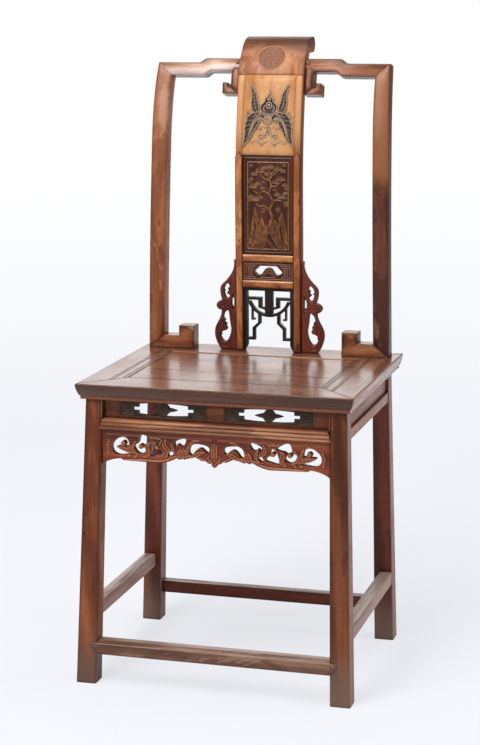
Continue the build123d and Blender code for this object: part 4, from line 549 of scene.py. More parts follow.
    # Carved fields: their cut colours are painted shade in the cuts and painted highlights on the
    # crests.
    add("butterfly_wood", SPLAT, "z", 2.4, figure=0.4, cut=((30, 20, 17), (196, 172, 150), 0.8),
        paint=((34, 27, 25), (62, 50, 44), 1, 0.2), rough=(0.35, 0.5), grime=0.3,
        **(SKIN | {"wear": 0.2}))
    add("roundel_wood", SCROLL, "z", 4.9, figure=0.5, cut=((70, 30, 20), (214, 156, 116), 0.6),
        paint=((96, 44, 30), (116, 58, 40), 0.8, 0.2), grime=0.4, **SKIN)
    add("gilt_lacquer", GILT_GROUND, "z", 15.2, cut=((40, 16, 15), (196, 142, 80), 0.3),
        paint=((100, 54, 28), (168, 110, 58), 0.95, 0.4), grime=0.3, rough=(0.3, 0.45), coat=0.4,
        **SKIN)
    add("maze_wood", MAZE, "x", 9.4, cut=((38, 14, 12), (176, 124, 100), 0.5),
        paint=((112, 66, 48), (160, 110, 86), 0.9, 0.25), grime=0.4, **SKIN)
    add("vine_wood", CARVED, "x", 9.4, cut=((28, 10, 8), (214, 134, 88), 0.75), grime=0.4, **SKIN)
    add("scroll_leaf_wood", WING, "z", 1.4, cut=((26, 9, 9), (160, 88, 64), 0.6), grime=0.4, **SKIN)
    add("leg_bead_wood", LEG, "z", 3.1, cut=((34, 16, 11), (150, 92, 60), 0.5), **SKIN)
    add("insert_wood", INSERT, "x", 13.9, cut=((12, 8, 8), (150, 116, 96), 0.4), grime=0.4, **SKIN)
    # Dark strips of dirt and painted shade in the seat's joints and grooves.
    add("joint_dirt", DIRT, "x", 17.3, grime=0, rough=(0.9, 1), coat=0, shine=0,
        **(SKIN | {"wear": 0}))
    add("ledge_wood", LEDGE, "x", 18.9, grime=0.2, stain=(124, 76, 56), rough=(0.25, 0.45),
        coat=0.3, **(SKIN | {"wear": 0}))
    return made


# The start of a CAD piece's name gives its material; the first row that fits holds.
MATERIAL_OF = (
    ("leg_rear", "rear_leg_wood"), ("leg_front_right", "right_leg_wood"), ("leg_", "frame_wood_z"),
    ("side_rail", "rail_wood_y"), ("rail_rear", "rail_wood_x"), ("bead_rail", "bead_wood"),
    ("stretcher_front", "front_stretcher_wood"), ("stretcher_rear", "stretcher_wood_x"),
    ("stretcher_pegs", "frame_wood_y"), ("stretcher_", "stretcher_wood_y"),
    ("frieze_board_front", "rail_wood_x"), ("frieze_board_rear", "rail_wood_x"),
    ("frieze_board", "rail_wood_y"), ("frieze_fret", "fret_wood"),
    ("back_post_left", "post_left_wood"), ("back_post_right", "post_right_wood"),
    ("post_foot", "post_wood_x"), ("crest_rail_left", "crest_pale_wood"),
    ("crest_rail", "crest_brown_wood"), ("crest_hook_tip", "post_wood_x"),
    ("crest_hook", "post_wood_z"), ("seat_rail_front", "seat_wood_x"),
    ("seat_rail_rear", "seat_wood_x"), ("seat_rail", "seat_wood_y"), ("seat_board", "seat_wood_x"),
    ("seat_batten", "seat_wood_y"), ("splat_scroll", "scroll_wood"), ("splat_stile", "stile_wood"),
    ("splat_butterfly", "splat_wood"), ("splat_rail", "splat_rail_wood"),
    ("splat_fret", "carved_wood"), ("splat_lattice", "dark_wood"), ("splat_landscape", "lacquer"),
    ("apron", "carved_wood"), ("wing_", "wing_wood"),
)
# Pieces with the wider arris.
STOUT = (
    "leg_", "splat_lattice", "stretcher_front", "stretcher_left", "stretcher_right",
    "stretcher_rear", "crest", "back_post", "post_foot", "seat_rail",
)


def dress(materials):
    """Gives each CAD piece its material and eases its arrises."""
    for name, node in NODES.items():
        key = next(kind for start, kind in MATERIAL_OF if name.startswith(start))
        for index in range(len(node.data.materials)):
            node.data.materials[index] = materials[key]
        weld = node.modifiers.new("weld", "WELD")
        weld.merge_threshold = WELD * MM
        bevel = node.modifiers.new("arris", "BEVEL")
        bevel.width = (STOUT_ARRIS if name.startswith(STOUT) else ARRIS) * MM
        bevel.segments = 2
        bevel.limit_method = "ANGLE"
        bevel.angle_limit = ARRIS_ANGLE
        bevel.harden_normals = True


# ---------------------------------------------------------------- lines in the plane of a face
def spline(points, closed=False, span=10):
    """Smooth line through the points."""
    p = np.array(points, float)
    n = len(p)
    t = np.linspace(0, 1, span, endpoint=False)[:, None]
    pieces = []
    for i in range(n if closed else n - 1):
        if closed:
            a, b, c, d = (p[(i + k) % n] for k in (-1, 0, 1, 2))
        else:
            a, b, c, d = p[max(i - 1, 0)], p[i], p[i + 1], p[min(i + 2, n - 1)]
        pieces.append(0.5 * (
            2 * b + (c - a) * t + (2 * a - 5 * b + 4 * c - d) * t ** 2
            + (3 * b - a - 3 * c + d) * t ** 3
        ))
    line = np.concatenate(pieces)
    return line if closed else np.vstack([line, p[-1]])


def straight(points, closed=False):
    """Straight runs between the points."""
    p = np.array(points, float)
    return np.vstack([p, p[:1]]) if closed else p


def spiral(centre, start, end, radius0, radius1, steps=24):
    """Spiral between two angles in degrees."""
    turn = np.radians(np.linspace(start, end, steps))
    reach = np.linspace(radius0, radius1, steps)
    return np.stack([centre[0] + reach * np.cos(turn), centre[1] + reach * np.sin(turn)], 1)


def ring(x, z, radius, steps=24):
    return spiral((x, z), 0, 360, radius, radius, steps)


def box_line(x, z0, z1):
    """Rectangle about the middle."""
    return straight([(-x, z0), (x, z0), (x, z1), (-x, z1)], True)


def sided(side, *points, move=0):
    """Points (x, z) moved outwards and put on one side of the middle."""
    return (np.array(points, float) + (move, 0)) * (side, 1)


# ---------------------------------------------------------------- carved fields
SKIRT = -0.3                # a field's edge ends this far under the surface that carries it
FALL = 1.6                  # slope with which a raised form falls below that surface
DEEP = -9                   # below everything that is seen
CAVITY_REACH = 6            # steps of the grid over which crests and cuts stand out
CAVITY_GAIN = 1.6           # change of shade for a millimetre of height


def link(name, data):
    thing = bpy.data.objects.new(name, data)
    bpy.context.scene.collection.objects.link(thing)
    return thing


def add_piece(name, mesh, material):
    """Smooth piece of its own on the chair's one body."""
    mesh.polygons.foreach_set("use_smooth", [True] * len(mesh.polygons))
    mesh.materials.append(material)
    piece = link(name, mesh)
    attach(piece, "root")


class Carving:
    """Heights in millimetres over a drawing of a surface, as the carver cut them."""

    def __init__(self, x0, x1, z0, z1, step=0.5, ground=DEEP):
        self.xs = np.arange(x0, x1 + step / 2, step)
        self.zs = np.arange(z0, z1 + step / 2, step)
        self.x, self.z = np.meshgrid(self.xs, self.zs)
        self.height = np.full(self.x.shape, float(ground))
        self.tint = np.zeros(self.x.shape)
        self.step = step

    def near(self, line, reach):
        """Part of the grid around a line: its slices and points."""
        low, high = line.min(0) - reach, line.max(0) + reach
        cols = slice(*np.searchsorted(self.xs, (low[0], high[0])))
        rows = slice(*np.searchsorted(self.zs, (low[1], high[1])))
        place = (rows, cols)
        return place, np.stack([self.x[place].ravel(), self.z[place].ravel()], 1)

    def measure(self, line, reach):
        """Distance to the line and share of its length, over the grid around it."""
        place, points = self.near(line, reach)
        shape = self.x[place].shape
        best = np.full(len(points), 1e9)
        share = np.zeros(len(points))
        runs = line[1:] - line[:-1]
        lengths = np.maximum(np.hypot(*runs.T), 1e-9)
        passed = np.concatenate([[0], np.cumsum(lengths)])
        for start, run, length, before in zip(line, runs, lengths, passed):
            rel = points - start
            t = np.clip(rel @ run / length ** 2, 0, 1)
            gap = np.hypot(*(rel - t[:, None] * run).T)
            closer = gap < best
            best[closer] = gap[closer]
            share[closer] = (before + t[closer] * length) / passed[-1]
        return place, best.reshape(shape), share.reshape(shape)

    def inside(self, outline, place):
        """Whether the grid's points lie inside a closed outline."""
        x, z = self.x[place], self.z[place]
        count = np.zeros(x.shape, bool)
        for a, b in zip(outline, np.roll(outline, -1, 0)):
            if a[1] == b[1]:
                continue
            crosses = (a[1] > z) != (b[1] > z)
            at = a[0] + (z - a[1]) / (b[1] - a[1]) * (b[0] - a[0])
            count ^= crosses & (x < at)
        return count

    def signed(self, outline, reach=2):
        """Distance into a closed outline, negative outside it."""
        closed = np.vstack([outline, outline[:1]])
        place, gap, _ = self.measure(closed, reach)
        return place, np.where(self.inside(outline, place), gap, -gap)

    def lift(self, place, height, tint=None):
        """Raises the field to a height where it is lower."""
        higher = height > self.height[place]
        self.height[place] = np.where(higher, height, self.height[place])
        if tint is not None:
            self.tint[place] = np.where(higher & (height > 0), tint, self.tint[place])

    def ridge(self, line, widths, height, base=0, tint=None):
        """Raised rounded line; widths are given along its length."""
        widths = np.atleast_1d(widths)
        place, gap, share = self.measure(line, widths.max() / 2 + 1)
        half = np.interp(share, np.linspace(0, 1, len(widths)), widths) / 2
        dome = height * np.sqrt(np.maximum(0, 1 - (gap / half) ** 2))
        fall = base - (gap - half) * FALL if base == 0 else DEEP
        self.lift(place, np.where(gap < half, base + dome, fall), tint)

    def mound(self, outline, height, edge, base=0, tint=None, hollow=0):
        """Raised form inside a closed outline, rounded over the edge and dished in its middle."""
        place, depth = self.signed(outline)
        rise = np.clip(depth / edge, 0, 1)
        dome = height * np.sqrt(1 - (1 - rise) ** 2)
        dome = dome - hollow * np.clip((depth - edge) / (edge * 2), 0, 1)
        fall = depth * FALL if base == 0 else DEEP
        self.lift(place, np.where(depth > 0, base + dome, fall), tint)

    def groove(self, line, width, depth):
        """Cut of round section along a line."""
        place, gap, _ = self.measure(line, width / 2 + self.step)
        self.height[place] -= depth * np.maximum(0, 1 - (gap / (width / 2)) ** 2)

    def disc(self, x, z, radius, height, edge, base=0, tint=None):
        """Round mound."""
        outline = spiral((x, z), 0, 345, radius, radius)
        self.mound(outline, height, edge, base, tint)

    def within(self, silhouette, inset, edge, drop):
        """Rounds the field down to nothing at the silhouette of the piece that carries it."""
        depth = silhouette - inset
        ease = np.clip(depth / edge, 0, 1)
        eased = self.height - drop * (1 - np.sqrt(1 - (1 - ease) ** 2))
        self.height = np.where(depth > 0, np.minimum(eased, depth * 3), SKIRT * 2)

    def cavity(self):
        """Height against its surroundings: positive on crests, negative in cuts."""
        top = np.maximum(self.height, 0)
        soft = top.copy()
        for _ in range(CAVITY_REACH):
            padded = np.pad(soft, 1, mode="edge")
            soft = (padded[:-2, 1:-1] + padded[2:, 1:-1] + padded[1:-1, :-2] + padded[1:-1, 2:]) / 4
        return np.clip(0.5 + (top - soft) * CAVITY_GAIN, 0, 1)

    def build(self, name, place, material):
        """Mesh of the field laid on a surface; place(x, z, height) gives metres."""
        height = np.maximum(self.height, SKIRT)
        points = place(self.x, self.z, height).reshape(-1, 3)
        shown = self.height > SKIRT
        cells = shown[:-1, :-1] | shown[1:, :-1] | shown[:-1, 1:] | shown[1:, 1:]
        rows, cols = np.nonzero(cells)
        width = len(self.xs)
        corner = rows * width + cols
        quads = np.stack([corner, corner + 1, corner + width + 1, corner + width], 1)
        used, faces = np.unique(quads, return_inverse=True)
        faces = faces.reshape(-1, 4)
        mesh = bpy.data.meshes.new(name)
        mesh.from_pydata(points[used].tolist(), [], faces.tolist())
        for label, values in (("cavity", self.cavity()), ("tint", self.tint)):
            layer = mesh.attributes.new(label, "FLOAT", "POINT")
            layer.data.foreach_set("value", values.ravel()[used].astype(np.float32))
        add_piece(name, mesh, material)


# ---------------------------------------------------------------- surfaces that carry carving
def metres(x, y, z):
    """Points in metres from arrays in millimetres about the middle of the seat."""
    x, y, z = np.broadcast_arrays(x, y, z)
    return np.stack([x * MM, y * MM + SHIFT_Y, z * MM], -1)


def on_splat(depth):
    """Laying rule for the splat's bent face, or a panel set back from it."""
    radius = SPLAT_RADIUS - depth

    def place(x, z, height):
        lean = np.arcsin(np.clip((z - SPLAT_RISE) / radius, -math.sin(SPLAT_LEAN), 1))
        low = np.maximum(0, SPLAT_RISE - radius * math.sin(SPLAT_LEAN) - z)
        y = SPLAT_FACE + SPLAT_RADIUS - radius * np.cos(lean) + low * math.tan(SPLAT_LEAN)
        return metres(x, y - height * np.cos(lean), z + height * np.sin(lean))

    return place


def on_scroll(x, run, height):
    """Laying rule for the scroll block's face: run is the way up from its seam."""
    foot_y = SPLAT_FACE + SPLAT_RADIUS * (1 - math.cos(SEAM))
    foot_z = SPLAT_RISE + SPLAT_RADIUS * math.sin(SEAM)
    centre_y = foot_y + NECK_RADIUS * math.cos(SEAM)
    centre_z = foot_z - NECK_RADIUS * math.sin(SEAM)
    neck_length = NECK_RADIUS * (NECK - SEAM)
    lean = np.minimum(SEAM + run / NECK_RADIUS, NECK)
    y = centre_y - NECK_RADIUS * np.cos(lean)
    z = centre_z + NECK_RADIUS * np.sin(lean)
    straight_run = np.clip(run - neck_length, 0, NECK_RUN)
    y = y + straight_run * math.sin(NECK)
    z = z + straight_run * math.cos(NECK)
    crown = np.maximum(0, run - neck_length - NECK_RUN) / CROWN_RADIUS
    y = y + CROWN_RADIUS * (math.cos(NECK) - np.cos(NECK + crown))
    z = z + CROWN_RADIUS * (np.sin(NECK + crown) - math.sin(NECK))
    lean = lean + crown
    return metres(x, y - height * np.cos(lean), z + height * np.sin(lean))


def on_front(y):
    """Laying rule for a flat board that faces forwards."""
    def place(x, z, height):
        return metres(x, y - height, z)

    return place


FACE_GAP = 0.25             # a face this near the carved surface belongs to the piece's front
FACE_TURN = -0.7            # and is turned forwards at least so far


def outline_edges(node, place):
    """Edges (x, z) around the front of a CAD piece and around its openings."""
    mesh = NODES[node].data
    uses = {}
    for face in mesh.polygons:
        x, y, z = face.center
        surface = place(x / MM, z / MM, 0)[1]
        if abs(y - surface) > FACE_GAP * MM or face.normal.y > FACE_TURN:
            continue
        corners = [mesh.vertices[i].co for i in face.vertices]
        keys = [(round(c.x / MM, 2), round(c.z / MM, 2)) for c in corners]
        for pair in zip(keys, keys[1:] + keys[:1]):
            edge = frozenset(pair)
            uses[edge] = uses.get(edge, 0) + 1
    return [np.array(sorted(edge)) for edge, count in uses.items() if count == 1 and len(edge) == 2]


def silhouette(field, node, place, reach=4):
    """Distance in from the outline of a CAD piece's front, negative outside it."""
    gap = np.full(field.x.shape, float(reach))
    inside = np.zeros(field.x.shape, bool)
    for edge in outline_edges(node, place):
        spot, distance, _ = field.measure(edge, reach)
        gap[spot] = np.minimum(gap[spot], distance)
        (x0, z0), (x1, z1) = edge
        if z0 == z1:
            continue
        rows = np.nonzero((z0 > field.zs) != (z1 > field.zs))[0]
        at = x0 + (field.zs[rows] - z0) / (z1 - z0) * (x1 - x0)
        inside[rows] ^= field.xs[None, :] < at[:, None]
    return np.where(inside, gap, -gap)


# ---------------------------------------------------------------- carver's strokes
def leaf(field, spine, widths, height, edge, hollow, veins, base=0, tint=None, scallop=0.15):
    """Leaf or feather about a smooth spine; widths are its full widths along it."""
    line = spline(spine)
    along = np.linspace(0, 1, len(line))
    half = np.interp(along, np.linspace(0, 1, len(widths)), widths) / 2
    half = half * (1 + scallop * np.abs(np.sin(along * veins * math.pi)))
    ahead = np.gradient(line, axis=0)
    ahead = ahead / np.hypot(*ahead.T)[:, None]
    across = np.stack([-ahead[:, 1], ahead[:, 0]], 1) * half[:, None]
    outline = np.vstack([line + across, (line - across)[::-1]])
    field.mound(outline, height, edge, base, tint, hollow)
    crest = base + height - hollow
    for k in range(1, veins):
        i = int(k / veins * (len(line) - 1))
        j = min(len(line) - 1, i + len(line) // (veins + 2))
        for side in (0.85, -0.85):
            tip = line[j] + across[j] * side
            field.groove(np.array([line[i], tip]), 1.1, 0.7)
    rib = line[1:-max(2, len(line) // 6)]
    field.ridge(rib, [1.3, 1, 0.7], 0.45, base=crest, tint=tint)


def curl(field, side, stem, centre, start, end, radius, width, height, base=0, tint=None, bud=0.75):
    """Stem that ends in a spiral, on one side of the middle and mirrored on the other."""
    if side < 0:
        start, end = 180 - start, 180 - end
    coil = spiral(sided(side, centre)[0], start, end, radius, radius * 0.25, 18)
    line = np.vstack([spline(np.vstack([sided(side, *stem), coil[:1]]))[:-1], coil])
    field.ridge(line, [width * 0.8, width, width, width * 0.7], height, base=base, tint=tint)
    if bud:
        field.disc(*coil[-1], width * bud, height * 1.1, 1, base=base, tint=tint)


def burst(field, x, z, radius, count, height, tint):
    """Ring of narrow leaves round a bud."""
    for k in range(count):
        turn = 2 * math.pi * k / count
        line = spline([
            (x + radius * share * math.cos(turn + twist), z + radius * share * math.sin(turn + twist))
            for share, twist in ((0, 0), (0.55, 0.12), (1, 0))
        ], span=5)
        field.ridge(line, [radius * 0.12, radius * 0.34, radius * 0.1], height, tint=tint)
    field.disc(x, z, radius * 0.22, height * 1.3, 0.8, tint=tint)


def spokes(field, x, z, start, end, width, depth):
    """Eight short cuts round a centre."""
    for k in range(8):
        turn = 2 * math.pi * k / 8
        ray = [(x + r * math.cos(turn), z + r * math.sin(turn)) for r in (start, end)]
        field.groove(np.array(ray), width, depth)


# ---------------------------------------------------------------- carved pieces
def butterfly(paint):
    """Butterfly with ribbon feelers, a pierced coin for its body and swept wings."""
    field = Carving(-56, 56, 884, 1010, 0.4)
    for side in SIDES:
        feeler = sided(side, (19, 945), (23, 956), (27, 970), (28, 983), (36, 1002))
        leaf(field, feeler, [6, 12, 14.5, 12, 9, 1], 2.6, 1.3, 1.3, 9, tint=1, scallop=0.14)
        wing = sided(side, (6, 939), (16, 944), (27, 939), (34, 924), (38, 909), (48, 890))
        leaf(field, wing, [8, 18, 24, 20, 13, 1], 2.8, 1.4, 1.4, 10, tint=1, scallop=0.12)
        for inset in (0.3, 0.62):
            fold = spline(wing)[4:-8] + np.array([side * -4.5, -5.5]) * inset
            field.ridge(fold, [0.8, 1.7, 0.8], 0.6, base=1.5, tint=0.3)
        curl(field, side, [(7, 950), (13, 955)], (15, 950), 100, -190, 4.2, 2, 1, base=1.3, tint=0)
        curl(field, side, [(2, 925), (5, 915)], (13, 909), 180, -170, 7, 3.3, 1.9, tint=0.6)
        curl(field, side, [(21, 927), (17, 922)], (14, 924), -40, 250, 3.6, 2.4, 1.5, tint=0.6)
        for points, widths, height in (
            (((2, 903), (8, 898), (16, 899), (23, 903), (29, 900)), [1.2, 3.2, 3, 1.2], 1.5),
            (((9, 899), (11, 893), (15, 897)), [2.4, 1.6], 1.3),
            (((36, 905), (32, 899), (27, 897)), [2.8, 1.6], 1.4),
        ):
            field.ridge(spline(sided(side, *points)), widths, height, tint=0.6)
        for x, z, radius in ((39, 944, 5), (43, 934, 3.2), (42, 925, 2.6), (38, 952, 3)):
            burst(field, side * x, z, radius, 5, 1.4, 0.8)
        for x, z in ((32, 958), (41, 913), (20, 966), (46, 946)):
            field.disc(side * x, z, 1.5, 1.1, 1, tint=0.6)
    crown = [(3, 983), (8, 977), (9, 972), (15, 966), (16, 958), (10, 951)]
    left = [(-x, z) for x, z in reversed(crown)]
    field.mound(spline([(0, 990), *crown, (0, 947), *left], True, 6), 2.8, 1.5, tint=1, hollow=1.4)
    for z, radius in ((965, 5.2), (977, 3)):
        field.ridge(ring(0, z, radius), 1.7, 1, base=1.3, tint=0.3)
        field.disc(0, z, radius * 0.45, 1.2, 0.8, base=1.3, tint=0.3)
    for side in SIDES:
        cheek = spline(sided(side, (7, 954), (10, 959), (7.5, 964)))
        field.ridge(cheek, 1.5, 0.9, base=1.3, tint=0.3)
    coin = (-1, 939.4)
    field.disc(*coin, 8.4, 3.4, 1.6, tint=0.2)
    field.groove(ring(*coin, 5.6), 1.6, 1.3)
    field.groove(ring(*coin, 1.6), 1.8, 1.6)
    spokes(field, *coin, 2.6, 4.8, 0.8, 0.5)
    leaf(field, [(0, 931), (0, 923), (0, 911)], [3, 7.5, 1], 2, 1.2, 0.7, 3, tint=0.5)
    for side in SIDES:
        leg = sided(side, (2, 930), (7, 927), (11, 930))
        leaf(field, leg, [2, 4.2, 0.8], 1.8, 1, 0.5, 2)
    field.build("butterfly_carving", on_splat(0), paint)


def medallion(paint):
    """Roundel on the scroll face: a ring round a symmetrical fret."""
    x0, middle = -2, 34.9
    low = 0.16
    field = Carving(-29, 25, middle - 28, middle + 28, 0.4)
    field.disc(x0, middle, 24.6, 0.22, 0.8, tint=1)
    field.ridge(ring(x0, middle, 24.6, 60), 2.2, 0.95)
    field.ridge(ring(x0, middle, 20.8, 50), 1, 0.45, base=low)
    for width, *points in (
        (1.9, (0, 4.5), (0, 18.5)),
        (1.9, (4.5, 0), (18, 0)),
        (1.7, (3.6, 17.5), (3.6, 11.5), (9.6, 11.5), (9.6, 15.6)),
        (1.7, (3.6, 8), (3.6, 3.6), (8.6, 3.6), (8.6, 8), (13.2, 8), (13.2, 12.6)),
        (1.7, (12.4, 3.6), (17.2, 3.6), (17.2, 9.2)),
    ):
        for sx in (1, -1):
            for sz in (1, -1):
                line = straight([(x0 + sx * x, middle + sz * z) for x, z in points])
                field.ridge(line, width, 0.62, base=low)
    heart = [(x0, middle + 3), (x0 + 3, middle), (x0, middle - 3), (x0 - 3, middle)]
    field.mound(np.array(heart), 0.6, 1, base=low)
    field.build("scroll_roundel", on_scroll, paint)


def fan(field, x, z, radius, base, tint):
    """Tuft of needles that spreads upwards."""
    for angle in range(8, 180, 23):
        turn = math.radians(angle)
        tip = (x + radius * math.cos(turn), z + radius * 0.9 * math.sin(turn))
        field.ridge(np.array([(x, z), tip]), [0.9, 1.5, 0.7], 0.8, base=base, tint=tint)
    bough = spline([(x - radius, z - 0.6), (x, z - 1.4), (x + radius, z - 0.6)])
    field.ridge(bough, [0.8, 1.5, 0.8], 0.7, base=base, tint=tint)


def peak(field, top, left_foot, right_foot, count, base, generator):
    """Pointed crag: sheaves of strokes run down both flanks from its top and leave a dark heart."""
    for foot, inward in ((left_foot, 1), (right_foot, -1)):
        for k in range(count):
            share = k / count
            start = np.array(top) + (inward * share * 0.6, -share * (top[1] - foot[1]) * 0.38)
            end = np.array(foot) + (inward * share * abs(top[0] - foot[0]) * 0.52, 0)
            jolt = generator.uniform(-1.2, 1.2, 2)
            line = spline([start, start * 0.6 + end * 0.4 + jolt, end], span=6)
            field.ridge(line, [1, 2.5, 1.3], 0.85, base=base, tint=generator.uniform(0.5, 1))
            if k % 2:
                spur = np.array([line[6], line[6] + (inward * 3.2, -3.8)])
                field.ridge(spur, [1, 0.6], 0.6, base=base, tint=0.8)


def landscape(paint):
    """Gilt scene on lacquer: crags, boulders, a twisting tree with tufts of needles, and clouds."""
    field = Carving(-46.4, 46.4, 697.7, 876.8, 0.42)
    field.mound(box_line(46, 698.2, 876.3), 0.35, 0.6)
    field.ridge(box_line(42.9, 702.1, 871.9), 1.2, 0.5, base=0.3)
    field.ridge(box_line(37.5, 707.5, 864), 2, 0.9, base=0.3, tint=1)
    low = 0.35
    generator = np.random.default_rng(5)
    for top, left_foot, right_foot, count in (
        ((-25, 784), (-36, 716), (-13, 738), 8), ((-12, 766), (-30, 712), (-2, 738), 6),
        ((26, 776), (14, 742), (36, 716), 8), ((13, 762), (4, 744), (24, 728), 4),
        ((2, 756), (-35, 709), (35, 709), 11), ((-2, 729), (-17, 709), (13, 709), 5),
    ):
        peak(field, top, left_foot, right_foot, count, low, generator)
    for x, z, size in ((-33, 797, 5.5), (33, 789, 6), (-8, 777, 4.5), (19, 779, 4)):
        for k in range(5):
            lean = (k - 2) * 0.32
            top = (x + size * math.sin(lean), z + size * math.cos(lean))
            blade = spline([(x + lean * 4, z - 3), (x + lean * 5, z + 1), top], span=6)
            field.ridge(blade, [1.6, 2.4, 1.2], 0.9, base=low, tint=generator.uniform(0.6, 1))
    trunk = spline([(2, 752), (8, 766), (3, 780), (9, 794), (2, 809), (6, 824), (1, 838)])
    field.ridge(trunk, [7, 5.4, 4.8, 4, 3.2, 2.4], 1.4, base=low, tint=0.9)
    for shift in (-1.2, 0, 1.1):
        field.groove(trunk[4:-6] + (shift, 0), 0.7, 0.35)
    for branch in (
        [(3, 779), (-7, 786), (-15, 785), (-23, 790)], [(8, 794), (16, 797), (26, 795)],
        [(3, 807), (-8, 812), (-18, 808), (-26, 813)], [(5, 821), (14, 822), (23, 828)],
        [(3, 832), (-6, 835), (-14, 842)], [(3, 834), (9, 842), (18, 848)],
        [(2, 836), (1, 846), (5, 852)],
    ):
        field.ridge(spline(branch), [2.8, 2.2, 1.2], 1, base=low, tint=0.9)
    for x, z, radius in (
        (-24, 796, 7.5), (-15, 800, 6), (-31, 802, 4.5), (26, 801, 8), (17, 806, 6), (32, 809, 4),
        (-27, 819, 8), (-18, 824, 6.5), (-10, 817, 5), (24, 833, 8.5), (14, 828, 6), (31, 823, 5),
        (-15, 847, 8.5), (-25, 842, 6), (-6, 853, 6), (18, 851, 8), (5, 855, 6.5), (9, 843, 5.5),
        (-31, 833, 4.5), (28, 848, 5), (-2, 843, 4.5),
    ):
        fan(field, x, z, radius, low, generator.uniform(0.7, 1))
    for x, z in ((-31, 858), (30, 859), (-33, 829), (33, 817), (12, 815), (-8, 829)):
        for k in range(2):
            cloud = [(x - 4 + k, z - 2.4 * k), (x, z + 1.6 - 2.4 * k), (x + 4 - k, z - 2.4 * k)]
            field.ridge(spline(cloud), [0.7, 1.6, 0.7], 0.6, base=low, tint=0.7)
    field.build("landscape_carving", on_splat(LANDSCAPE_DEPTH), paint)


def fret_panel(paint):
    """Raised meander lines on both sides of the small panel's opening."""
    place = on_splat(FRET_DEPTH)
    low = 0.4
    field = Carving(-46.8, 46.8, 650.7, 683.3, 0.4, ground=low)
    shape = silhouette(field, "splat_fret_panel", place)

    def line(points, width=1.7):
        field.ridge(straight(points), width, 0.8, base=low, tint=1)

    line(box_line(44.4, 653, 681))
    for side in SIDES:
        for step in range(3):
            outer, foot, head = 40.6 - step * 3.9, 656.6 + step * 3.6, 677.8 - step * 3.6
            inner = 24.5 if step == 0 else 28.5 + step
            line(sided(side, (inner, foot), (outer, foot), (outer, head), (inner, head)))
        line(sided(side, (23.5, 653.4), (29.5, 661.6), (30.6, 667), (29.5, 671.6), (21, 680.6)), 1.5)
    for rise in (0, 3.6):
        foot = 659 + rise * 0.5
        arch = spline([(rise - 11, foot), (0, 669.4 - rise * 1.2), (11 - rise, foot)])
        field.ridge(arch, 1.4, 0.8, base=low, tint=1)
    line([(-14, 656.4), (14, 656.4)], 1.4)
    field.within(shape, 0.3, 0.5, 0.3)
    field.tint[(shape > 0.3) & (shape < 1.5)] = 0.8
    field.build("fret_panel_carving", place, paint)


def insert_carving(paint, side):
    """Nested frames at both ends of a pierced insert, and a veined flower in its middle."""
    centre, middle = side * INSERT_X, INSERT_Z
    place = on_front(FRIEZE_Y + 2)
    field = Carving(centre - INSERT_HALF, centre + INSERT_HALF, 466, 489.2, 0.4, ground=0.9)
    name = "frieze_fret_" + SIDES[side]
    shape = silhouette(field, name, place)
    for end in (1, -1):
        x = centre + end * 62.5
        for inset in (0, 3.2, 6.4):
            half_x, half_z = 10.3 - inset, 9.6 - inset
            line = box_line(half_x, middle - half_z, middle + half_z) + (x, 0)
            field.groove(line, 1.3, 0.8)
    field.groove(ring(centre, middle, 7.6), 1.2, 0.7)
    field.groove(ring(centre, middle, 3), 1.4, 0.7)
    spokes(field, centre, middle, 3.4, 7.2, 0.9, 0.5)
    for end in (1, -1):
        field.groove(np.array([(centre + end * 9.5, middle), (centre + end * 23, middle)]), 1, 0.6)
    field.within(shape, 0.3, 0.9, 0.9)
    field.build(name + "_carving", place, paint)


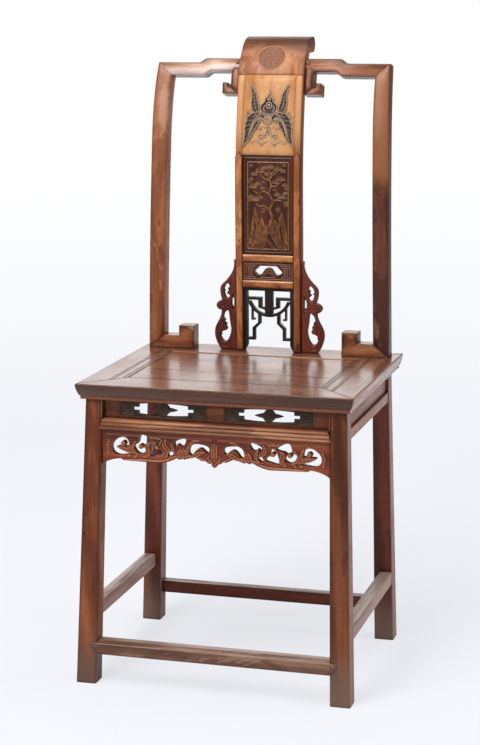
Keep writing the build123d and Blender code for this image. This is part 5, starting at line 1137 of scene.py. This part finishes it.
def apron_carving(paint):
    """Vines, leaves, berries and reeds over the whole front of the apron."""
    place = on_front(APRON_Y)
    field = Carving(-199, 199, 368, 441.5, 0.5, ground=0.55)
    shape = silhouette(field, "apron_front", place)
    base = 0.5
    # The two halves were cut by eye: each berry and the long leaf lie a little off their pair.
    for side, shifts in ((1, (-0.5, 0, 3)), (-1, (-3.5, -1, 0))):
        outer, inner, long_leaf = shifts

        def sprig(widths, height, edge, hollow, veins, *points, move=0):
            leaf(field, sided(side, *points, move=move), widths, height, edge, hollow, veins, base)

        def berry(x, z, radius, bud):
            field.disc(side * x, z, radius, 1.9, radius / 2, base)
            field.disc(side * x, z, bud, bud - 0.8, 0.8, base + 1.6)

        stem = sided(
            side, (192, 378), (180, 386), (164, 389.2), (130, 391.6), (97, 391.8), (80, 396),
            (66, 402), (48, 403), (33, 405.5), (22, 400.5), (13, 396.5),
        )
        field.ridge(spline(stem), [2.6, 3.4, 3.4, 3, 3, 3, 2.6, 2.4, 2], 1, base=base)
        sprig([5, 7, 6, 2], 1.4, 1.2, 0.5, 5, (140, 407.5), (150, 407), (160, 408.8), (172, 412.8),
              move=outer)
        berry(163 + outer, 418.2, 4.8, 1.6)
        sprig([4, 6, 1], 1.2, 1, 0.5, 4, (163, 421), (158, 427), (166, 433), move=outer)
        sprig([3, 6, 2], 1.2, 1.1, 0.5, 5, (186, 398), (187, 412), (184, 426))
        sprig([3, 7, 6, 2], 1.5, 1.1, 0.6, 6, (151, 396), (146, 406), (150, 418), (153, 429))
        sprig([2, 7, 6, 2], 1.5, 1.1, 0.6, 6, (141, 394), (136, 402), (143, 410), (138, 424))
        berry(129.5 + inner, 415, 4.4, 1.5)
        sprig([3, 8, 7, 2], 1.6, 1.2, 0.6, 7, (124, 397), (116, 403), (117, 415), (112, 425))
        berry(100.3, 415, 4.4, 1.5)
        sprig([3, 7, 7, 2], 1.5, 1.1, 0.6, 6, (84, 399), (80, 410), (87, 420), (84, 430))
        sprig([1, 4, 1], 1, 1, 0.4, 4, (92, 429), (104, 431), (116, 431.5))
        sprig([2, 6, 2], 1.4, 1, 0.5, 5, (78, 398), (72, 410), (76, 424))
        for k in range(4):
            foot = 63.5 - 4.6 * k
            sprig([3, 4.6, 1], 1.5, 1.1, 0.4, 4, (foot, 399.5), (foot - 1.5, 408), (foot - 6.5, 417.5))
        sprig([2, 6, 7, 2], 1.5, 1.2, 0.6, 7, (46, 404), (38, 402.8), (28, 408), (16, 412),
              move=long_leaf)
        sprig([2, 5, 5, 1], 1.2, 1, 0.5, 6, (47, 409), (44, 420), (36, 429), (24, 431))
        field.groove(sided(side, (5, 433.2), (190, 433.2)), 1.3, 0.7)
        field.groove(sided(side, (5, 436.4), (190, 436.4)), 0.9, 0.4)
    for x in (-4.4, -1.5, 1.5, 4.4):
        field.ridge(straight([(x, 403), (x, 428 - abs(x) * 0.6)]), [2.2, 2.4, 1.4], 1.5, base=base)
    for side in SIDES:
        scroll = sided(side, (1, 392), (6, 396), (11, 401), (9, 406))
        field.ridge(spline(scroll), [1.6, 2.6, 1.6], 1.2, base=base)
    reed = [(-104, 403.5), (-99, 412), (-95, 421), (-91, 428)]
    field.ridge(spline(reed), [2.6, 3.4, 2], 1.5, base=base)
    field.within(shape, 0.35, 1.4, 1.1)
    field.build("apron_carving", place, paint)


def wing_carving(paint, side):
    """Rounded leaf scrolls over the front of a wing, with grooves along their bends."""
    place = on_splat(WING_DEPTH)
    low, high = sorted((side * 59.5, side * 103.5))
    field = Carving(low, high, 520.4, 686.8, 0.45, ground=1.6)
    shape = silhouette(field, "wing_" + SIDES[side], place, 5)
    for width, depth, *points in (
        (1.5, 0.8, (63.5, 680), (65, 664), (76, 650), (86.5, 640), (87.5, 624), (83, 612)),
        (1.4, 0.8, (66, 640), (70, 628), (74, 612), (84, 601), (90, 600)),
        (1.6, 0.8, (84.5, 590), (89.5, 577), (91.5, 563), (96.5, 556), (97.5, 545), (92, 529),
         (80, 525.5)),
        (1.5, 0.8, (66, 590), (69.5, 572), (67.5, 552), (72, 534), (80, 527)),
        (1.2, 0.6, (76, 602), (70, 594), (66, 588)),
    ):
        field.groove(spline(sided(side, *points)), width, depth)
    for stem, centre, start, end, radius, width in (
        ([(70, 622), (72, 627)], (74.3, 629.5), 200, -120, 3.6, 1.8),
        ([(80, 571), (83, 566)], (85.5, 560.5), 120, 420, 4.2, 2),
        ([(86, 604), (91, 606)], (94, 601.5), 120, -200, 3.4, 1.8),
    ):
        curl(field, side, stem, centre, start, end, radius, width, 0.8, base=1.1, bud=0)
    field.within(shape, 0.3, 3.2, 1.5)
    field.build("wing_carving_" + SIDES[side], place, paint)


# Lobes of a wing: x, rise over the seat, radius. Profile: share of the radius, height.
WING_LOBES = (
    (86.2, 54.4, 3.4), (83.9, 47, 3.6), (82.8, 39.2, 3.8), (92.8, 27.4, 2.8), (98, 33, 2),
    (73.9, 112.4, 3), (75.2, 105.4, 3.2), (84.4, 108.6, 1.9), (66.2, 98, 1.9), (67.2, 79, 1.9),
)
LOBE_PROFILE = (
    (0, 1.7), (0.4, 1.55), (0.7, 1.1), (0.92, 0.3), (1, -0.8), (1, -8.6), (0.88, -9.5), (0, -9.6),
)
LOBE_STEPS = 24
LOBE_RIPPLE = 0.07          # share by which a lobe's three corners stand out


def wing_lobes(paint, side):
    """Small rounded leaf lobes that scallop a wing's openings and its knob."""
    place = on_splat(WING_DEPTH)
    points, faces = [], []
    for x, rise, radius in WING_LOBES:
        first = len(points)
        for share, height in LOBE_PROFILE:
            for k in range(LOBE_STEPS):
                turn = 2 * math.pi * k / LOBE_STEPS
                reach = share * radius * (1 + LOBE_RIPPLE * math.cos(3 * turn))
                z = SEAT_TOP + rise + reach * math.sin(turn)
                points.append(place(side * x + reach * math.cos(turn), z, height))
        for row in range(len(LOBE_PROFILE) - 1):
            for k in range(LOBE_STEPS):
                start = first + row * LOBE_STEPS
                a, b = start + k, start + (k + 1) % LOBE_STEPS
                faces.append((a, a + LOBE_STEPS, b + LOBE_STEPS, b))
    mesh = bpy.data.meshes.new("wing_lobes")
    mesh.from_pydata(points, [], faces)
    shape = bmesh.new()
    shape.from_mesh(mesh)
    bmesh.ops.remove_doubles(shape, verts=shape.verts, dist=1e-6)
    bmesh.ops.recalc_face_normals(shape, faces=shape.faces)
    shape.to_mesh(mesh)
    shape.free()
    add_piece("wing_lobes_" + SIDES[side], mesh, paint)


def on_leg(x, z, height):
    """Laying rule for a front leg's face."""
    return metres(x, LEG_FACE - (SEAT_UNDERSIDE - z) * LEG_SPLAY - height, z)


def leg_beads(material, side):
    """Two small beads and a line down a front leg's inner edge, from the seat to the bead rail."""
    low, high = sorted((side * 194.6, side * 204.5))
    field = Carving(low, high, 462.6, 492.8, 0.35)
    for x, width, height in LEG_BEADS:
        field.ridge(sided(side, (x, 463.4), (x, 492.8)), width, height)
    field.build("leg_beads_" + SIDES[side], on_leg, material)


def splat_mouldings(materials):
    """Half-round faces of the stiles' lower part and of the two cross rails."""
    for side in SIDES:
        low, high = sorted((side * STILE_IN, side * STILE_OUT))
        field = Carving(low, high, STILE_FOOT, STILE_POINT, 0.5)
        face = [(low, STILE_FOOT), (high, STILE_FOOT), (high, STILE_SHOULDER),
                ((low + high) / 2, STILE_POINT), (low, STILE_SHOULDER)]
        field.mound(np.array(face), 2.2, 6.7)
        name = "stile_moulding_" + SIDES[side]
        field.build(name, on_splat(0), materials["moulding_wood"])
    for label, foot, head in CROSS_RAILS:
        field = Carving(-47, 47, foot, head, 0.45)
        field.mound(np.array([(-48, foot), (48, foot), (48, head), (-48, head)]), 2.4, 6.6)
        name = "cross_moulding_" + label
        field.build(name, on_splat(0), materials["cross_moulding_wood"])


# ---------------------------------------------------------------- strips on flat wood
STRIP_STEP = 3.5            # length of a strip's pieces
STRIP_SECTION = ((-0.5, -0.25), (-0.25, 0), (0, None), (0.25, 0), (0.5, -0.25))  # None: its arch


def strips(name, lines, material, seed, rise, arch):
    """Thin uneven strips along lines; lines are (ends, widths, level)."""
    generator = np.random.default_rng(seed)
    points, faces = [], []
    for ends, widths, level in lines:
        ends = np.array(ends, float)
        length = np.hypot(*(ends[1] - ends[0]))
        count = max(2, int(length / STRIP_STEP))
        ahead = (ends[1] - ends[0]) / length
        across = np.array([-ahead[1], ahead[0]])
        wander = np.cumsum(generator.normal(0, 0.05, count + 1))
        wander -= np.linspace(0, wander[-1], count + 1)
        first = len(points)
        for k in range(count + 1):
            share = k / count
            width = widths[0] * (1 - share) + widths[1] * share
            width *= generator.uniform(0.75, 1.2)
            middle = ends[0] * (1 - share) + ends[1] * share + across * wander[k]
            for offset, lift in STRIP_SECTION:
                spot = middle + across * width * offset
                height = level + rise + (arch if lift is None else lift)
                points.append((spot[0] * MM, spot[1] * MM + SHIFT_Y, height * MM))
        for k in range(count):
            for column in range(len(STRIP_SECTION) - 1):
                a = first + len(STRIP_SECTION) * k + column
                b = a + len(STRIP_SECTION)
                faces.append((a, a + 1, b + 1, b))
    mesh = bpy.data.meshes.new(name)
    mesh.from_pydata(points, [], faces)
    add_piece(name, mesh, material)


def seat_details(materials):
    """Dark strips of dirt and painted shade in the seat's joints and mouldings, the worn ledge behind
    the panel, and painted highlights along the front arrises.
    """
    lines = [
        ([(-FIELD_X, FIELD_FRONT + 2), (-FIELD_X, FIELD_REAR)], (3.4, 1.6), SEAT_TOP),
        ([(FIELD_X, FIELD_FRONT + 2), (FIELD_X, FIELD_REAR)], (1.3, 0.9), SEAT_TOP),
        ([(-FIELD_X, FIELD_REAR), (FIELD_X, FIELD_REAR)], (1.7, 1.2), SEAT_TOP),
        ([(-FIELD_X, FIELD_FRONT), (FIELD_X, FIELD_FRONT)], (0.6, 0.5), SEAT_TOP),
    ]
    for start, end, widths in ((-150, -60, (0.5, 0.9)), (-30, 60, (0.9, 0.7)), (84, 158, (0.6, 0.4))):
        lines.append(([(start, BOARD_JOINT), (end, BOARD_JOINT)], widths, SEAT_TOP))
    for side in SIDES:
        for end, field_y in ((-1, FIELD_FRONT), (1, FIELD_REAR)):
            corner = (side * (SEAT_X - CORNER_INSET), end * (SEAT_Y - CORNER_INSET))
            lines.append(([(side * FIELD_X, field_y), corner], (1.3, 0.9), SEAT_TOP))
        # Painted shade, with dirt, in the grooves of the side rails' mouldings.
        for out in RAIL_LINES:
            x = side * (FIELD_X + out + 0.6)
            ends = [(x, FIELD_FRONT - out * 0.9), (x, FIELD_REAR + out * 0.9)]
            lines.append((ends, (0.8, 0.5), SEAT_TOP - LINE_DEPTH))
    strips("seat_joint_dirt", lines, materials["joint_dirt"], 4, 0.12, 0.1)

    pale = materials["ledge_wood"]
    ledge = [(-FIELD_X - 1, FIELD_REAR + 3.6), (FIELD_X - 20, FIELD_REAR + 3.6)]
    strips("seat_rear_ledge", [(ledge, (5, 4.2), SEAT_TOP)], pale, 8, 0.25, 0.9)
    # Painted highlights along the worn front arrises of the seat and of the front stretcher.
    arris = [(4 - SEAT_X, 1.2 - SEAT_Y), (SEAT_X - 4, 1.2 - SEAT_Y)]
    strips("seat_front_arris", [(arris, (1.6, 1.4), SEAT_TOP)], pale, 9, 0, 0.18)
    low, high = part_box("stretcher_front")
    front, top = (low[1] - SHIFT_Y) / MM + 0.8, high[2] / MM - 3.75
    arris = [(low[0] / MM + 8, front), (high[0] / MM - 8, front)]
    strips("stretcher_front_arris", [(arris, (1.7, 1.3), top)], pale, 12, 0.12, 0.25)


def carve(materials):
    """All the carved fields and small mouldings."""
    seat_details(materials)
    splat_mouldings(materials)
    butterfly(materials["butterfly_wood"])
    medallion(materials["roundel_wood"])
    landscape(materials["gilt_lacquer"])
    fret_panel(materials["maze_wood"])
    apron_carving(materials["vine_wood"])
    for side in SIDES:
        insert_carving(materials["insert_wood"], side)
        leg_beads(materials["leg_bead_wood"], side)
        wing_carving(materials["scroll_leaf_wood"], side)
        wing_lobes(materials["wing_wood"], side)


# ---------------------------------------------------------------- stage
LAMPS = (                   # name, place, target, size, watts, whether gloss shows it
    ("key", (-0.8, -1.9, 2.9), (0, 0.1, 0.8), (1.5, 2), 64, True),
    ("front", (-1.3, -4.3, 2.4), (0, 0, 0.9), (2.2, 1.6), 22, True),
    ("overhead", (0.1, -0.1, 3), (0, 0, 0.5), (2.2, 1.6), 32, True),
    ("fill", (3, 0.5, 0.9), (0, 0, 0.4), (1.8, 1.8), 46, False),
    ("rear_wall", (-0.7, 3, 1.5), (-0.1, 0, 1.2), (2, 2.8), 20, True),
)
WORLD_LIGHT = 0.2
FLOOR_RADIUS = 60
FLOOR_PALES = (1, 9)        # distances over which the floor turns white
FLOOR_GLOWS = (1, 3.5)      # distances over which its shading gives way to an even paleness
FLOOR_GLOW = 0.72           # share of that paleness near the chair
IMAGE = (480, 745)
CAMERA_PLACE = Vector((0.91183, -3.29518, 1.18242))
CAMERA_TURN = (-0.2803, -0.1821, -0.0038)       # yaw, pitch and roll
FOCAL, CENTRE = 1987.07, (227.96, 347.23)       # focal length and optical centre, in pixels
SENSOR = 36                                     # width in mm


def area_light(name, place, target, size, power, glossy):
    data = bpy.data.lights.new(name, "AREA")
    data.shape = "RECTANGLE"
    data.size, data.size_y = size
    data.energy = power
    lamp = link(name, data)
    lamp.location = place
    lamp.visible_camera = False
    lamp.visible_glossy = glossy
    direction = Vector(target) - Vector(place)
    lamp.rotation_euler = direction.to_track_quat("-Z", "Y").to_euler()


def world_light(strength):
    """Soft studio air around the object; white where the camera looks past everything."""
    world = bpy.data.worlds.new("studio")
    bpy.context.scene.world = world
    world.use_nodes = True
    tree = world.node_tree
    tree.nodes.clear()
    mixer = tree.nodes.new("ShaderNodeMixShader")
    seen = tree.nodes.new("ShaderNodeLightPath").outputs["Is Camera Ray"]
    tree.links.new(seen, mixer.inputs["Fac"])
    for index, power in ((1, strength), (2, 1)):
        air = tree.nodes.new("ShaderNodeBackground")
        air.inputs["Color"].default_value = (1, 1, 1, 1)
        air.inputs["Strength"].default_value = power
        tree.links.new(air.outputs[0], mixer.inputs[index])
    output = tree.nodes.new("ShaderNodeOutputWorld")
    tree.links.new(mixer.outputs[0], output.inputs["Surface"])


def floor_material():
    """Matt pale sweep. The camera sees it nearly white, paler with distance, with soft shadows."""
    g = Graph("floor")
    paint = g.mix(g.noise(g.position, 3, 4), (236, 239, 245), (241, 243, 248))
    matt = g.add("ShaderNodeBsdfDiffuse", {"Color": paint, "Roughness": 0.6}).outputs["BSDF"]
    away = g.add("ShaderNodeVectorMath", {0: g.position}, operation="LENGTH").outputs["Value"]
    paleness = g.mix(g.remap(away, *FLOOR_PALES), (244, 246, 251), (255, 255, 255))
    glow = g.add("ShaderNodeEmission", {"Color": paleness, "Strength": 1}).outputs["Emission"]
    share = g.remap(away, *FLOOR_GLOWS, FLOOR_GLOW, 1)
    seen = g.add("ShaderNodeLightPath").outputs["Is Camera Ray"]
    mixer = g.add("ShaderNodeMixShader", {0: g.times(share, seen), 1: matt, 2: glow})
    g.add("ShaderNodeOutputMaterial", {"Surface": mixer.outputs[0]})
    return g.material


def studio():
    """Pale level floor around the chair, soft air and the lamps."""
    mesh = bpy.data.meshes.new("floor")
    shape = bmesh.new()
    bmesh.ops.create_circle(shape, cap_ends=True, segments=96, radius=FLOOR_RADIUS)
    shape.to_mesh(mesh)
    shape.free()
    mesh.materials.append(floor_material())
    plane = link("floor", mesh)
    world_light(WORLD_LIGHT)
    for lamp in LAMPS:
        area_light(*lamp)


def camera():
    """Camera standing to the right of the chair's middle and a little above its top."""
    yaw, pitch, roll = CAMERA_TURN
    width, height = IMAGE
    forward = Vector((math.sin(yaw) * math.cos(pitch), math.cos(yaw) * math.cos(pitch), math.sin(pitch)))
    right = Vector((math.cos(yaw), -math.sin(yaw), 0))
    up = right.cross(forward)
    turned_right = math.cos(roll) * right + math.sin(roll) * up
    turned_up = -math.sin(roll) * right + math.cos(roll) * up
    data = bpy.data.cameras.new("camera")
    data.sensor_width = SENSOR
    data.sensor_fit = "AUTO"
    data.lens = FOCAL * SENSOR / max(width, height)
    data.shift_x = (width / 2 - CENTRE[0]) / max(width, height)
    data.shift_y = (CENTRE[1] - height / 2) / max(width, height)
    eye = link("camera", data)
    turn = Matrix((turned_right, turned_up, -forward)).transposed()
    eye.matrix_world = Matrix.Translation(CAMERA_PLACE) @ turn.to_4x4()
    bpy.context.scene.camera = eye


bpy.context.scene.view_settings.view_transform = "Standard"
MATERIALS = woods()
dress(MATERIALS)
carve(MATERIALS)
studio()
camera()

bpy.context.view_layer.update()
